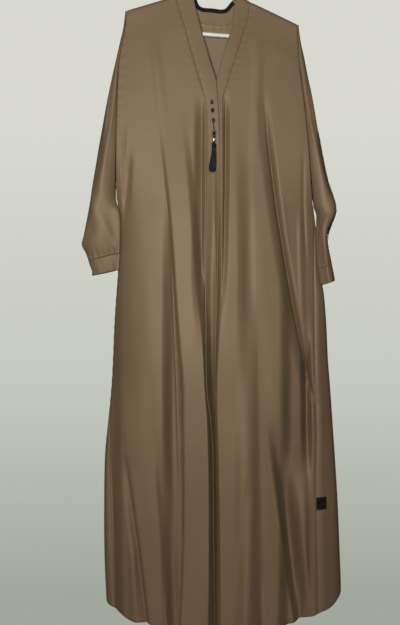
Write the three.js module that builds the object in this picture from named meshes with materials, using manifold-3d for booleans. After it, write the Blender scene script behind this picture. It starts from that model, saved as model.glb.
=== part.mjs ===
import * as THREE from 'three';
import { mergeVertices } from 'three/addons/utils/BufferGeometryUtils.js';
import Module from 'manifold-3d';

// A long open-front abaya hanging on a tube hanger. Millimetres, +Z up, the front faces -Y and
// +X is the viewer's right, so the wearer's right is at -X. The origin is the inside top of the
// hanger's hook. Every cloth piece is a thin wall on one shared surface of the garment.

// Cloth
const clothWall = 1.5;
const bandWall = 1.5;
const trimWall = 1.0;
const seamGap = 0.3;

// Hanger
const hangerTilt = THREE.MathUtils.degToRad(4.5);
const armSlope = THREE.MathUtils.degToRad(21.15);
const armRadius = 4.75;
const armStart = 5.3;
const barStart = 4;
const curlRadius = 21.5;
const hangerHalfWidth = 186;
const hookInside = 20;
const hookWire = 3.75;
const hookAngles = { tip: 200, bend: -40 };
const hookStem = [[8.2, -46.6], [2.2, -54], [-0.2, -61]];
const tubeSides = 10;

// Garment heights below the hook seat
const clothTop = -62;
const hemHeight = -1543;
const underarmShare = 0.315;
const partGap = 1;
const lengthShares = [0, 0.26, 0.5, 0.75, 1];
const cuffHeight = 38;

// The cloth bends over the arms of the hanger at this radius, measured to the middle of the wall
const bendRadius = armRadius + 0.5 + clothWall / 2;
const bendDrops = [0, 0.2, 0.6, 1];
const fallLength = 80;

// The hem lifts towards each side corner
const hemLift = { right: 16, rightPower: 20, left: 30, leftPower: 8, middle: 55, middlePower: 1.1 };

// The section between the side lines: how full it is, and how the folds die out at the sides
const sectionPower = 2.2;
const sidePower = 8;

// Just off the side line, so that a turn there is on the front or on the back
const besideQuarter = 1e-4;

// How strongly the columns of a panel crowd towards its edges, from 0 to 1
const crowding = { front: 0.85, back: 0.55 };
const columnCount = { front: 21, back: 32, band: 7, sleeve: 12, cuff: 16, neck: 24, tape: 14, label: 6 };

// The right band stands a little proud, and below the neck the left one drops under it
const bandLift = 0.4;
const bandUnder = { from: -200, length: 70, sink: 2.1 };

function table(columns, rows) {
  return rows.map((row) => Object.fromEntries(columns.map((name, i) => [name, row[i]])));
}

// Edges of the body at each height: the armhole above the underarm, the side's outline below it
const outline = table(['z', 'right', 'left'], [
  [-110, -200, 190],
  [-160, -203.5, 191],
  [-234, -216.5, 194],
  [-290, -219.5, 200],
  [-355, -222, 207.5],
  [-420, -223.5, 214],
  [-500, -224.5, 220.5],
  [-547, -224, 224.5],
  [-570, -220.5, 227],
  [-600, -216.5, 231.5],
  [-650, -215.5, 235.5],
  [-700, -219, 239.5],
  [-740, -221.5, 245],
  [-765, -223.5, 251],
  [-832, -228, 257],
  [-925, -232, 261.5],
  [-982, -235, 266],
  [-1062, -242.5, 271.5],
  [-1143, -250, 277],
  [-1250, -252, 283.5],
  [-1360, -251.5, 288],
  [-1450, -248, 291],
  [-1543, -242, 288],
]);

// Half depths of the body, how far the armholes gape, and how square the sides are
const depths = table(['z', 'front', 'back', 'gapRight', 'gapLeft', 'round'], [
  [-90, 6, 6, 6, 6, 1],
  [-160, 9, 8, 8, 6.5, 1],
  [-235, 13, 11, 12, 11, 1],
  [-330, 18, 15, 17, 16, 1],
  [-430, 23, 19, 20, 20, 0.9],
  [-490, 26, 21, 15, 18, 0.75],
  [-530, 28, 23, 7, 11, 0.6],
  [-557, 29, 24, 0, 4.5, 0.5],
  [-576, 30, 25, 0, 0, 0.46],
  [-650, 33, 28, 0, 0, 0.42],
  [-752, 37, 32, 0, 0, 0.42],
  [-900, 43, 38, 0, 0, 0.42],
  [-1060, 48, 43, 0, 0, 0.42],
  [-1250, 54, 48, 0, 0, 0.42],
  [-1543, 60, 54, 0, 0, 0.42],
]);

// Side seams where they turn on to the front: the back panel wraps round to them
const sideSeams = table(['z', 'right', 'left'], [
  [-570, -230, 230],
  [-600, -230, 231],
  [-650, -230, 229],
  [-752, -230, 227.7],
  [-982, -238, 229],
  [-1086, -238, 231.8],
  [-1200, -238, 229.5],
  [-1543, -222, 235],
]);

// Edges of the two front bands: sewn edge and free edge of each
const bandEdges = table(['z', 'rightSeam', 'rightFree', 'leftFree', 'leftSeam'], [
  [-70, -95, -49, 53, 87],
  [-106, -84.3, -44.4, 48, 82],
  [-146, -71.8, -34.5, 43.2, 76.2],
  [-168, -64.9, -29.2, 39, 68.2],
  [-207, -55, -18, 27, 56.5],
  [-248, -43.5, -6.5, 15, 43.5],
  [-285, -32, 5, 4.6, 32.2],
  [-326, -21.5, 8.5, -8, 21],
  [-363, -17, 11.3, -12, 19.6],
  [-402, -16, 12.2, -12.5, 19.2],
  [-556, -16.5, 13, -12.5, 18.5],
  [-750, -22, 9, -18, 11],
  [-982, -20, 11, -16, 13],
  [-1062, -14, 17, -10, 19],
  [-1150, -10, 21, -6, 23],
  [-1543, -10, 21, -6, 23],
]);

// The closed front draws together and sinks between the two folds beside it, lower and lower down
const furrow = table(['z', 'middle', 'squeeze', 'depth'], [
  [-330, 0, 1, 0],
  [-556, 0, 1, 4],
  [-750, -6, 0.95, 8],
  [-856, -5, 0.66, 12],
  [-982, -4, 0.42, 18],
  [-1062, 2, 0.38, 20],
  [-1250, 6, 0.38, 20],
  [-1543, 6, 0.38, 20],
]);
const furrowInside = 22;
const furrowOutside = 80;

// Folds of the front and of the back. Each runs from one height to another along a bowed line,
// is full from a height of its own, and stands out (or sinks in) by its height. A share of its
// width is flat. On each side a cusp of 1 makes the fold's line sharp, and -1 makes its foot sharp
const foldColumns = [
  'name', 'from', 'full', 'end', 'fade', 'xFrom', 'xEnd', 'bow', 'height', 'lean', 'toRight', 'toLeft',
  'flat', 'cuspRight', 'cuspLeft',
];
const frontFolds = table(foldColumns, [
  ['right lip', -330, -1050, -1543, 0, -108, -50, 28, 38, -10, 28, 40, 0.6, -0.7, -0.2],
  ['right broad', -420, -1100, -1543, 0, -162, -158, -6, 28, 3, 70, 72, 0.6, -0.2, -0.4],
  ['left lip', -330, -1050, -1543, 0, 22, 58, 6, 31, -10, 33, 52, 0.33, -0.7, 0],
  ['left middle', -450, -1100, -1543, 0, 118, 110, 6, 24, 0, 58, 56, 0.45, 0, 0],
  ['left long valley', -270, -620, -1060, 110, 112, 236, -17, -15, 0, 26, 13, 0, 0.8, 0.8],
  ['left seam valley', -850, -960, -1190, 110, 211, 213, 0, -30, 0, 19, 11, 0, 0.4, 0],
  ['left low valley', -1040, -1250, -1543, 0, 132, 202, -2, -30, 0, 19, 32, 0, -0.8, 0],
  ['left low ridge', -1130, -1300, -1543, 0, 204, 200, 0, 13, 0, 26, 22, 0, 0, 0],
  ['left side ridge', -760, -980, -1543, 0, 222, 226, 0, 7, 0, 16, 40, 0, 0, 0],
  ['right outer crease', -1080, -1300, -1543, 0, -212, -150, 2, -14, 0, 18, 10, 0, 0.8, 0.8],
  ['right inner crease', -1090, -1240, -1543, 0, -128, -92, 0, -11, 0, 14, 26, 0, -0.8, 0],
  ['right underarm', -430, -500, -620, 70, -193, -205, 0, -7, 0, 13, 15, 0, 0.5, 0.5],
]);
const backFolds = table(foldColumns, [
  ['back right', -350, -1150, -1543, 0, -70, -98, 0, 30, 0, 60, 50, 0.2, 0, -0.3],
  ['back left', -380, -1180, -1543, 0, 62, 78, 6, 26, 0, 50, 62, 0.3, -0.4, 0],
  ['back right drag', -300, -600, -1100, 150, -128, -205, 14, -16, 0, 16, 32, 0, 0.8, 0.6],
  ['back left outer', -420, -1200, -1543, 0, 150, 172, 0, 20, 0, 50, 50, 0.2, 0, -0.4],
  ['back right outer', -600, -1250, -1543, 0, -176, -170, 0, 16, 0, 40, 44, 0.1, 0, 0],
  ['back middle', -1120, -1330, -1543, 0, -16, -8, 0, -18, 0, 30, 30, 0, 0.4, 0.6],
  ['back left crease', -1100, -1300, -1543, 0, 112, 126, 0, -12, 0, 20, 22, 0, 0.6, 0.4],
]);

// Sleeves: outer edge, inner edge below the underarm, half depth and the fall of a row outwards
const sleeveColumns = ['z', 'outer', 'inner', 'depth', 'fall'];
const sleeveRight = table(sleeveColumns, [
  [-121, -203, -203, 6, 0],
  [-161, -208, -206, 9, 0],
  [-184, -213, -209, 10, 0],
  [-228, -222.6, -217, 13, 0],
  [-281, -234.6, -220, 18, 0],
  [-333, -245.6, -222, 21, 0],
  [-419, -261.3, -224, 24, 0],
  [-499, -274.4, -226, 25, 0],
  [-556, -283.6, -225.5, 24, 0],
  [-602, -291.9, -219.3, 22, -1],
  [-640, -299.9, -218.9, 21, -5],
  [-660, -304.1, -219.5, 19, -11],
  [-680, -294.5, -220.8, 15, -17],
  [-720, -279.5, -222.8, 12, -12],
]);
const sleeveLeft = table(sleeveColumns, [
  [-154, 193.5, 193, 6, 0],
  [-200, 200, 194, 9, 0],
  [-230, 206.8, 196, 12, 0],
  [-283, 217, 201, 17, 0],
  [-333, 227.5, 207, 20, 0],
  [-379, 235.5, 211, 23, 0],
  [-419, 243.8, 215, 25, 0],
  [-465, 252, 219, 27, 0],
  [-517, 263, 223, 29, 0],
  [-547, 273, 226.5, 31, 0],
  [-570, 280, 229.2, 32, 0],
  [-589, 280.6, 236, 34, 0],
  [-607, 273.5, 236, 36, 0],
  [-630, 264.5, 236.6, 38, 0],
  [-648, 262, 237.9, 38, 1],
  [-683, 266, 240.8, 37, 5],
  [-714, 271.4, 243.6, 32, 9],
  [-752, 278.5, 250.4, 30, 10],
]);
const cuffSeam = { right: -680, left: -714 };
const armholeClear = 1.6 * seamGap;
const sleeveRowsBelow = {
  right: [-576, -612, -640, -660, -672, cuffSeam.right],
  left: [-576, -592, -610, -632, -660, -690, cuffSeam.left],
};

// The neck across the back: the free top edge of its band and the seam below
const backNeckTop = [
  [-49, -76.6], [-41, -91], [-34, -107], [-26, -112], [-4, -114], [18, -116.5], [26, -114.5], [38, -101],
  [51, -86.5],
];
const backNeckSeam = [
  [-90, -88.8], [-70, -119], [-42, -144], [-10, -152], [25, -153.5], [56, -141], [83, -101.9],
];
const neckTapeStrip = { width: 9, start: 0.91, end: 0.08, below: 0.02 };
// The block that parts the neck band from the back reaches this deep, and this far above it
const neckBlockSize = { depth: 40, above: 4 };

// Trims on the right band
const beads = table(['name', 'x', 'z'], [
  ['bead_1', -5.5, -335.8],
  ['bead_2', -3.7, -355],
  ['bead_3', -1.8, -377.8],
]);
const beadRadius = { x: 3.7, y: 3.2, z: 4.8 };
const tasselX = -0.8;
const tasselStand = 6.4;
// Pieces threaded on the tassel's cord: heights of top and bottom, and radius
const tasselTrims = table(['name', 'top', 'bottom', 'radius', 'finish'], [
  ['tassel_ring_silver', -402.2, -406.2, 4.6, 'silver'],
  ['tassel_ring_black', -406.8, -411.4, 4.2, 'bead'],
  ['tassel_ring_steel', -412.0, -416.0, 4.4, 'steel'],
  ['tassel_ferrule', -416.6, -429.0, 3.1, 'silver'],
]);
const trimRim = 0.3;
const cordRadius = 0.9;
// The strands start close together in the head, spread and drift to one side, and end unevenly
const tassel = {
  top: -429.6, head: 12, headRadius: 5.2, overlap: 2, length: 69, strands: 36, strandRadius: 0.55,
  rootSpread: 4.2, endSpread: 8.4, flatness: 0.55, drift: -4, ragged: 7, raggedStep: 2.3, bendShare: 0.9,
};
const label = { left: 229.8, right: 253, top: -1232.8, bottom: -1260.2 };

// Grid rows below the bend, as shares of the way to the hem
const bodyRows = [
  0.012, 0.035, 0.075, 0.125, 0.18, 0.235, 0.28, underarmShare, 0.36, 0.42, 0.48, 0.545, 0.61,
  0.68, 0.75, 0.82, 0.89, 0.95, 1,
];

const finishes = {
  cloth: { color: 0x7d6b56, roughness: 0.6 },
  trim: { color: 0x17120f, roughness: 0.8 },
  bead: { color: 0x120c0c, roughness: 0.25 },
  thread: { color: 0x101318, roughness: 0.7 },
  silver: { color: 0xcacac8, roughness: 0.25, metalness: 0.9 },
  steel: { color: 0x8e9096, roughness: 0.3, metalness: 0.9 },
  plastic: { color: 0xf1efe7, roughness: 0.35 },
};

// Steps for finding a surface's direction, and rounds for finding a row's height
const nearTurn = 1e-3;
const nearRise = 0.3;
const probeTurn = 0.01;
const settleRounds = 8;
const mergeReach = 1e-4;

const wasm = await Module();
wasm.setup();

const { clamp, lerp } = THREE.MathUtils;
const ease = (q) => clamp(q, 0, 1) ** 2 * (3 - 2 * clamp(q, 0, 1));
const shares = (count) => Array.from({ length: count + 1 }, (_, i) => i / count);

// The value of one column at a height, on a smooth line through the table's rows
function track(rows, column) {
  const heights = rows.map((row) => row.z);
  const values = rows.map((row) => row[column]);
  const last = values.length - 1;
  const slopes = values.map((_, i) => {
    const before = Math.max(i - 1, 0);
    const after = Math.min(i + 1, last);
    return (values[after] - values[before]) / (heights[after] - heights[before]);
  });
  return (z) => {
    let i = 0;
    while (i < last - 1 && z < heights[i + 1]) i += 1;
    const span = heights[i + 1] - heights[i];
    const q = clamp((z - heights[i]) / span, 0, 1);
    const rise = q * q * (3 - 2 * q);
    const startPull = q * (1 - q) ** 2 * span * slopes[i];
    const endPull = q * q * (q - 1) * span * slopes[i + 1];
    return values[i] + rise * (values[i + 1] - values[i]) + startPull + endPull;
  };
}

const edge = { right: track(outline, 'right'), left: track(outline, 'left') };
const depth = Object.fromEntries(
  ['front', 'back', 'gapRight', 'gapLeft', 'round'].map((name) => [name, track(depths, name)]),
);
const sideSeam = { right: track(sideSeams, 'right'), left: track(sideSeams, 'left') };
const band = Object.fromEntries(
  ['rightSeam', 'rightFree', 'leftFree', 'leftSeam'].map((name) => [name, track(bandEdges, name)]),
);
const furrowAt = Object.fromEntries(
  ['middle', 'squeeze', 'depth'].map((name) => [name, track(furrow, name)]),
);

// The line of the shoulders, on top of the hanger's arms
const slopeAt = (x) => armSlope + (x < 0 ? -hangerTilt : hangerTilt);
const shoulder = (x) => clothTop - Math.abs(x) * Math.tan(slopeAt(x));

function hem(turn) {
  const side = Math.sin(turn);
  const [lift, power] = side < 0
    ? [hemLift.right, hemLift.rightPower]
    : [hemLift.left, hemLift.leftPower];
  const rise = hemLift.middle * Math.abs(side) ** hemLift.middlePower;
  return hemHeight + rise + lift * Math.abs(side) ** power;
}

// How far a set of folds moves a point outwards, and sideways with their lean
function foldMove(folds, x, z) {
  let out = 0;
  let sideways = 0;
  for (const fold of folds) {
    const along = (fold.from - z) / (fold.from - fold.end);
    if (along <= 0 || (fold.fade > 0 && along >= 1)) continue;
    const line = lerp(fold.xFrom, fold.xEnd, along) + fold.bow * 4 * along * (1 - along);
    const reach = x < line ? fold.toRight : fold.toLeft;
    const across = Math.max(0, Math.abs(x - line) / reach - fold.flat) / (1 - fold.flat);
    if (across >= 1) continue;
    const cusp = x < line ? fold.cuspRight : fold.cuspLeft;
    const grown = ease((fold.from - z) / (fold.from - fold.full));
    const faded = fold.fade > 0 ? ease((z - fold.end) / fold.fade) : 1;
    const quarter = (Math.PI / 2) * across;
    const soft = (1 - Math.abs(cusp)) * Math.cos(quarter) ** 2;
    const sharp = cusp > 0 ? cusp * (1 - Math.sin(quarter)) : -cusp * Math.cos(quarter);
    const bump = (soft + sharp) * grown * faded;
    out += fold.height * bump;
    sideways += fold.lean * bump;
  }
  return { out, sideways };
}

// A point of the garment's surface. turn goes round the body: 0 is the middle of the front,
// a quarter turn is the left side and a half turn is the middle of the back
function bodyPoint(turn, z) {
  const onFront = Math.cos(turn) > 0;
  const across = Math.sin(turn);
  const right = edge.right(z);
  const left = edge.left(z);
  let x = (right + left) / 2 + (across * (left - right)) / 2;
  const gap = Math.max(0, lerp(depth.gapRight(z), depth.gapLeft(z), (across + 1) / 2));
  const deep = onFront ? depth.front(z) : depth.back(z);
  const belly = Math.max(0, 1 - Math.abs(across) ** sectionPower) ** depth.round(z);
  const hang = gap + (deep - gap) * belly;
  const drop = (shoulder(x) - z) * Math.cos(slopeAt(x));
  const overArm = bendRadius - clamp(drop, 0, bendRadius);
  const bend = Math.sqrt(bendRadius ** 2 - overArm ** 2);
  let out = seamGap / 2 + bend + (hang - bendRadius) * ease(drop / fallLength);
  const move = foldMove(onFront ? frontFolds : backFolds, x, z);
  const fromSide = 1 - Math.abs(across) ** sidePower;
  out += move.out * fromSide;
  if (onFront) {
    const fromMiddle = x - furrowAt.middle(z);
    const apart = Math.abs(fromMiddle);
    const pull = 1 - ease((apart - furrowInside) / (furrowOutside - furrowInside));
    const sink = 0.5 * (1 + Math.cos(Math.PI * Math.min(1, apart / furrowInside)));
    x -= (1 - furrowAt.squeeze(z)) * fromMiddle * pull;
    out -= furrowAt.depth(z) * sink;
  }
  return new THREE.Vector3(x + move.sideways * fromSide, onFront ? -out : out, z);
}

// The same point moved away from the body by a distance along the surface's normal
function liftedPoint(turn, z, lift) {
  const at = bodyPoint(turn, z);
  const round = bodyPoint(turn + nearTurn, z).sub(bodyPoint(turn - nearTurn, z));
  const up = bodyPoint(turn, z + nearRise).sub(bodyPoint(turn, z - nearRise));
  return at.addScaledVector(round.cross(up).normalize(), lift);
}

// The turn at which the front has a given width from the middle
function turnAt(x, z) {
  const right = edge.right(z);
  const left = edge.left(z);
  return Math.asin(clamp((2 * x - right - left) / (left - right), -1, 1));
}

// The turn of a side seam, and of an edge that stops half a gap before it
function sideTurn(side, z, towards) {
  const limit = side === 'right' ? Math.max : Math.min;
  const quarter = side === 'right' ? -Math.PI / 2 : Math.PI / 2;
  if (z > underarm[side] + 1) return quarter + towards * besideQuarter;
  const turn = turnAt(limit(sideSeam[side](z), edge[side](z)), z);
  const arc = bodyPoint(turn + towards * probeTurn, z).distanceTo(bodyPoint(turn, z));
  return turn + (towards * probeTurn * seamGap * 0.5) / arc;
}

// Height of the armhole's edge at a share of the way from the shoulder to the hem
function armholeHeight(side, v) {
  const turn = side === 'right' ? -Math.PI / 2 : Math.PI / 2;
  let z = clothTop;
  for (let round = 0; round < settleRounds; round += 1) {
    z = lerp(shoulder(edge[side](z)), hem(turn), v);
  }
  return z;
}
const underarm = {
  right: armholeHeight('right', underarmShare),
  left: armholeHeight('left', underarmShare),
};

function geometryOf(points, faces) {
  const geometry = new THREE.BufferGeometry();
  const coordinates = points.flatMap((p) => [p.x, p.y, p.z]);
  geometry.setAttribute('position', new THREE.Float32BufferAttribute(coordinates, 3));
  geometry.setIndex(faces.flat());
  geometry.computeVertexNormals();
  return geometry;
}

// A wall on both sides of a surface point(u, v), with rims round its edges
function wall(point, us, vs, thickness, closed = false) {
  const step = 2e-4;
  const points = [];
  for (const side of [0.5, -0.5]) {
    for (const v of vs) {
      for (const u of us) {
        const [u0, u1] = closed ? [u - step, u + step] : [Math.max(0, u - step), Math.min(1, u + step)];
        const [v0, v1] = [Math.max(0, v - step), Math.min(1, v + step)];
        const alongU = point(u1, v).sub(point(u0, v));
        const alongV = point(u, v1).sub(point(u, v0));
        const normal = alongU.cross(alongV).normalize();
        points.push(point(u, v).addScaledVector(normal, thickness * side));
      }
    }
  }
  const columns = us.length;
  const rows = vs.length;
  const at = (sheet, j, i) => (sheet * rows + j) * columns + (i % columns);
  const faces = [];
  const quad = (a, b, c, d) => faces.push([a, b, c], [a, c, d]);
  const cells = closed ? columns : columns - 1;
  for (let j = 0; j < rows - 1; j += 1) {
    for (let i = 0; i < cells; i += 1) {
      quad(at(0, j, i), at(0, j, i + 1), at(0, j + 1, i + 1), at(0, j + 1, i));
      quad(at(1, j, i), at(1, j + 1, i), at(1, j + 1, i + 1), at(1, j, i + 1));
    }
    if (closed) continue;
    quad(at(0, j, 0), at(0, j + 1, 0), at(1, j + 1, 0), at(1, j, 0));
    quad(at(0, j, cells), at(1, j, cells), at(1, j + 1, cells), at(0, j + 1, cells));
  }
  for (let i = 0; i < cells; i += 1) {
    quad(at(0, 0, i), at(1, 0, i), at(1, 0, i + 1), at(0, 0, i + 1));
    quad(at(0, rows - 1, i), at(0, rows - 1, i + 1), at(1, rows - 1, i + 1), at(1, rows - 1, i));
  }
  return geometryOf(points, faces);
}

// A round tube along points that lie in one upright plane
function tube(path, radius, sides) {
  const points = [];
  path.forEach((at, i) => {
    const before = path[Math.max(i - 1, 0)];
    const after = path[Math.min(i + 1, path.length - 1)];
    const along = after.clone().sub(before).normalize();
    const depthwards = new THREE.Vector3(0, 1, 0);
    const upwards = depthwards.clone().cross(along);
    for (let k = 0; k < sides; k += 1) {
      const angle = (2 * Math.PI * k) / sides;
      points.push(at.clone()
        .addScaledVector(upwards, radius * Math.cos(angle))
        .addScaledVector(depthwards, radius * Math.sin(angle)));
    }
  });
  const faces = [];
  const ring = (i, k) => i * sides + (k % sides);
  for (let i = 0; i < path.length - 1; i += 1) {
    for (let k = 0; k < sides; k += 1) {
      faces.push([ring(i, k), ring(i + 1, k + 1), ring(i + 1, k)]);
      faces.push([ring(i, k), ring(i, k + 1), ring(i + 1, k + 1)]);
    }
  }
  const end = path.length - 1;
  for (let k = 1; k < sides - 1; k += 1) {
    faces.push([ring(0, 0), ring(0, k + 1), ring(0, k)], [ring(end, 0), ring(end, k), ring(end, k + 1)]);
  }
  return geometryOf(points, faces);
}

// A row of the body from the shoulder (0) to the hem (1), found where its column lies
function settle(v, top, turnOf) {
  let z = lerp(clothTop, hemHeight, v);
  let turn = 0;
  for (let round = 0; round < settleRounds; round += 1) {
    turn = turnOf(z);
    z = lerp(top(turn, z), hem(turn), v);
  }
  return { turn, z };
}

const widthAt = (turn, z) => {
  const right = edge.right(z);
  const left = edge.left(z);
  return (right + left) / 2 + (Math.sin(turn) * (left - right)) / 2;
};
const onShoulder = (turn, z) => shoulder(widthAt(turn, z));
const bandGap = (z) => (seamGap * 0.5) / furrowAt.squeeze(z);
const bendShare = bendRadius / (clothTop - hemHeight) / Math.cos(armSlope);
const panelRows = [...bendDrops.map((drop) => drop * bendShare), ...bodyRows];
// The long panels and bands come in lengths from the shoulder down, parted across
const partShare = (partGap * 0.5) / (clothTop - hemHeight);
const lengths = lengthShares.slice(1).map((to, i) => {
  const start = lengthShares[i] + (i > 0 ? partShare : 0);
  const stop = to - (to < 1 ? partShare : 0);
  return [start, ...panelRows.filter((v) => v > start && v < stop), stop];
});
const gather = (u) => lerp(u, ease(u), crowding.front);

// A front panel, from its armhole and side seam to its band
function frontPanel(side) {
  const sign = side === 'right' ? 1 : -1;
  return (u, v) => {
    const { turn, z } = settle(v, onShoulder, (height) => {
      const outer = widthAt(sideTurn(side, height, sign), height);
      const inner = band[`${side}Seam`](height) - sign * bandGap(height);
      const share = gather(side === 'right' ? u : 1 - u);
      return turnAt(lerp(outer, inner, share), height);
    });
    return bodyPoint(turn, z);
  };
}

// Smooth line through a few points across the neck, as a point for a share of the way
function neckLine(points) {
  const places = points.map(([x, z]) => new THREE.Vector3(x, 0, z));
  const curve = new THREE.CatmullRomCurve3(places, false, 'centripetal');
  return (u) => curve.getPoint(clamp(u, 0, 1));
}
const neckTop = neckLine(backNeckTop);
const neckSeam = neckLine(backNeckSeam);

function backPanel(u, v) {
  const { turn, z } = settle(v, onShoulder, (height) => {
    const start = sideTurn('left', height, 1);
    const stop = sideTurn('right', height, -1) + 2 * Math.PI;
    return lerp(start, stop, lerp(u, Math.acos(1 - 2 * clamp(u, 0, 1)) / Math.PI, crowding.back));
  });
  return bodyPoint(turn, z);
}

// A front band, from its seam to its free edge. The right one lies over the left one
function frontBand(side) {
  const sign = side === 'right' ? 1 : -1;
  return (u, v) => {
    const { turn, z } = settle(v, onShoulder, (height) => {
      const sewn = band[`${side}Seam`](height) + sign * bandGap(height);
      const free = band[`${side}Free`](height);
      return turnAt(lerp(sewn, free, side === 'right' ? u : 1 - u), height);
    });
    const under = ease((bandUnder.from - z) / bandUnder.length);
    const deeper = 1 - furrowAt.squeeze(z);
    return liftedPoint(turn, z, side === 'right' ? bandLift : -bandUnder.sink * under - deeper);
  };
}

// A point on the back at a width and height, moved out by a lift
const backPoint = (x, z, lift) => liftedPoint(Math.PI - turnAt(x, z), z, lift);

// A block that reaches through the back, over an outline across the neck
function neckBlock(outlinePoints) {
  const shape = new THREE.Shape(outlinePoints.map((p) => new THREE.Vector2(p.x, p.z)));
  const geometry = new THREE.ExtrudeGeometry(shape, { depth: neckBlockSize.depth, bevelEnabled: false });
  geometry.rotateX(Math.PI / 2);
  geometry.translate(0, neckBlockSize.depth, 0);
  return solidOf(geometry);
}

// The first length of the back and the band round its neck are one surface, parted along the seam
function backPieces() {
  const whole = solidOf(wall(backPanel, shares(columnCount.back), lengths[0], clothWall));
  const steps = shares(columnCount.neck);
  const seam = steps.map((u) => neckSeam(u));
  const free = steps.map((u) => neckTop(1 - u));
  const raised = (p) => new THREE.Vector3(p.x, 0, p.z + neckBlockSize.above);
  const [seamStart, seamStop] = [raised(seam[0]), raised(seam[steps.length - 1])];
  const [freeStart, freeStop] = [raised(free[0]), raised(free[steps.length - 1])];
  const bandBlock = neckBlock([...seam, seamStop, freeStart, ...free, freeStop, seamStart]);
  const widened = 1 + seamGap / Math.abs(backNeckSeam[0][0]);
  const parted = seam.map((p) => new THREE.Vector3(p.x * widened, 0, p.z - seamGap));
  const corners = [seamStop.x + seamGap, seamStart.x - seamGap].map((x) => new THREE.Vector3(x, 0, 0));
  return {
    shoulders: whole.subtract(neckBlock([...parted, ...corners])),
    neck: whole.intersect(bandBlock),
  };
}

// Dark tape inside the back neck, just below the free edge
function neckTape(u, v) {
  const along = lerp(neckTapeStrip.start, neckTapeStrip.end, u);
  const top = neckTop(along);
  const seam = neckSeam(along);
  const share = neckTapeStrip.below + (v * neckTapeStrip.width) / top.distanceTo(seam);
  const inwards = -(bandWall + trimWall) / 2 - seamGap;
  return backPoint(lerp(top.x, seam.x, share), lerp(top.z, seam.z, share), inwards);
}

// A sleeve: open towards the body above the underarm, a tube with one seam below it
function sleeveRow(side) {
  const rows = side === 'right' ? sleeveRight : sleeveLeft;
  const tracks = Object.fromEntries(
    ['outer', 'inner', 'depth', 'fall'].map((name) => [name, track(rows, name)]),
  );
  const away = side === 'right' ? -1 : 1;
  const beside = away * (Math.PI / 2 - besideQuarter);
  return (angleShare, z, closed) => {
    const fall = tracks.fall(z);
    const outer = tracks.outer(z + fall);
    const deep = tracks.depth(z);
    const armhole = -bodyPoint(beside, z).y;
    const open = z > underarm[side] ? clamp(armhole, seamGap / 2, deep) : seamGap / 2;
    const half = Math.asin(Math.min(1, open / deep));
    const clear = armholeClear + (clothWall + seamGap) * Math.cos(half) ** 2;
    const inner = z > underarm[side] ? edge[side](z) + away * clear : tracks.inner(z);
    const radius = Math.abs(outer - inner) / (1 + (closed ? 1 : Math.cos(half)));
    const middle = outer - away * radius;
    const angle = closed ? 2 * Math.PI * angleShare : lerp(half, 2 * Math.PI - half, angleShare);
    const x = middle - away * radius * Math.cos(angle);
    return new THREE.Vector3(x, -deep * Math.sin(angle), z + (fall * (x - inner)) / (outer - inner));
  };
}

function sleeve(side, part) {
  const row = sleeveRow(side);
  const open = panelRows.filter((v) => v > 0 && v < underarmShare).map((v) => armholeHeight(side, v));
  const heights = {
    upper: [...open, underarm[side] + seamGap / 2],
    lower: [underarm[side] - seamGap / 2, ...sleeveRowsBelow[side]],
  }[part];
  const span = heights[heights.length - 1] - heights[0];
  const point = (u, v) => row(u, heights[0] + v * span, false);
  const rows = heights.map((z) => (z - heights[0]) / span);
  return wall(point, shares(columnCount.sleeve), rows, clothWall);
}

function cuff(side) {
  const row = sleeveRow(side);
  const top = cuffSeam[side] - seamGap;
  const point = (u, v) => row(u, top - v * cuffHeight, true);
  return wall(point, shares(columnCount.cuff).slice(0, -1), shares(2), clothWall, true);
}

// Label folded into the left side seam and lying on the back panel behind it
function sideLabel(u, v) {
  const z = lerp(label.top, label.bottom, v);
  return liftedPoint(turnAt(lerp(label.left, label.right, u), z), z, (clothWall + trimWall) / 2 + seamGap);
}

// Distance of the front of the right band at a place, for what hangs before it
function bandFace(x, z) {
  return liftedPoint(turnAt(x, z), z, bandLift + bandWall / 2).y;
}

function bead({ x, z }) {
  const geometry = new THREE.SphereGeometry(1, 10, 8);
  geometry.scale(beadRadius.x, beadRadius.y, beadRadius.z);
  geometry.translate(x, bandFace(x, z) - beadRadius.y - seamGap, z);
  return geometry;
}

const tasselY = bandFace(tasselX, tassel.top - tassel.length) - tasselStand;

// A turned trim on the upright axis of the tassel, with a rounded edge
function turned(top, bottom, radius) {
  const round = Math.min(radius, top - bottom) * trimRim;
  const profile = [
    [0, bottom], [radius - round, bottom], [radius, bottom + round],
    [radius, top - round], [radius - round, top], [0, top],
  ];
  const geometry = new THREE.LatheGeometry(profile.map(([r, z]) => new THREE.Vector2(r, z)), 12);
  geometry.rotateX(Math.PI / 2);
  geometry.translate(tasselX, tasselY, 0);
  return geometry;
}

// Cord from the lowest bead down to the first ring
function tasselCord() {
  const lowest = beads[beads.length - 1];
  const start = lowest.z - beadRadius.z - seamGap;
  const end = tasselTrims[0].top + seamGap;
  const from = bandFace(lowest.x, start) - beadRadius.y;
  const path = shares(5).map((q) => new THREE.Vector3(
    lerp(lowest.x, tasselX, ease(q)),
    lerp(from, tasselY, ease(q)),
    lerp(start, end, q),
  ));
  return tube(path, cordRadius, 6);
}

function solidOf(geometry) {
  const bare = geometry.clone();
  bare.deleteAttribute('normal');
  bare.deleteAttribute('uv');
  const merged = mergeVertices(bare, mergeReach);
  return new wasm.Manifold(new wasm.Mesh({
    numProp: 3,
    vertProperties: new Float32Array(merged.attributes.position.array),
    triVerts: new Uint32Array(merged.index.array),
  }));
}

function geometryFrom(solid) {
  const mesh = solid.getMesh();
  const geometry = new THREE.BufferGeometry();
  geometry.setAttribute('position', new THREE.BufferAttribute(new Float32Array(mesh.vertProperties), 3));
  geometry.setIndex(new THREE.BufferAttribute(new Uint32Array(mesh.triVerts), 1));
  geometry.computeVertexNormals();
  return geometry;
}

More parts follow.
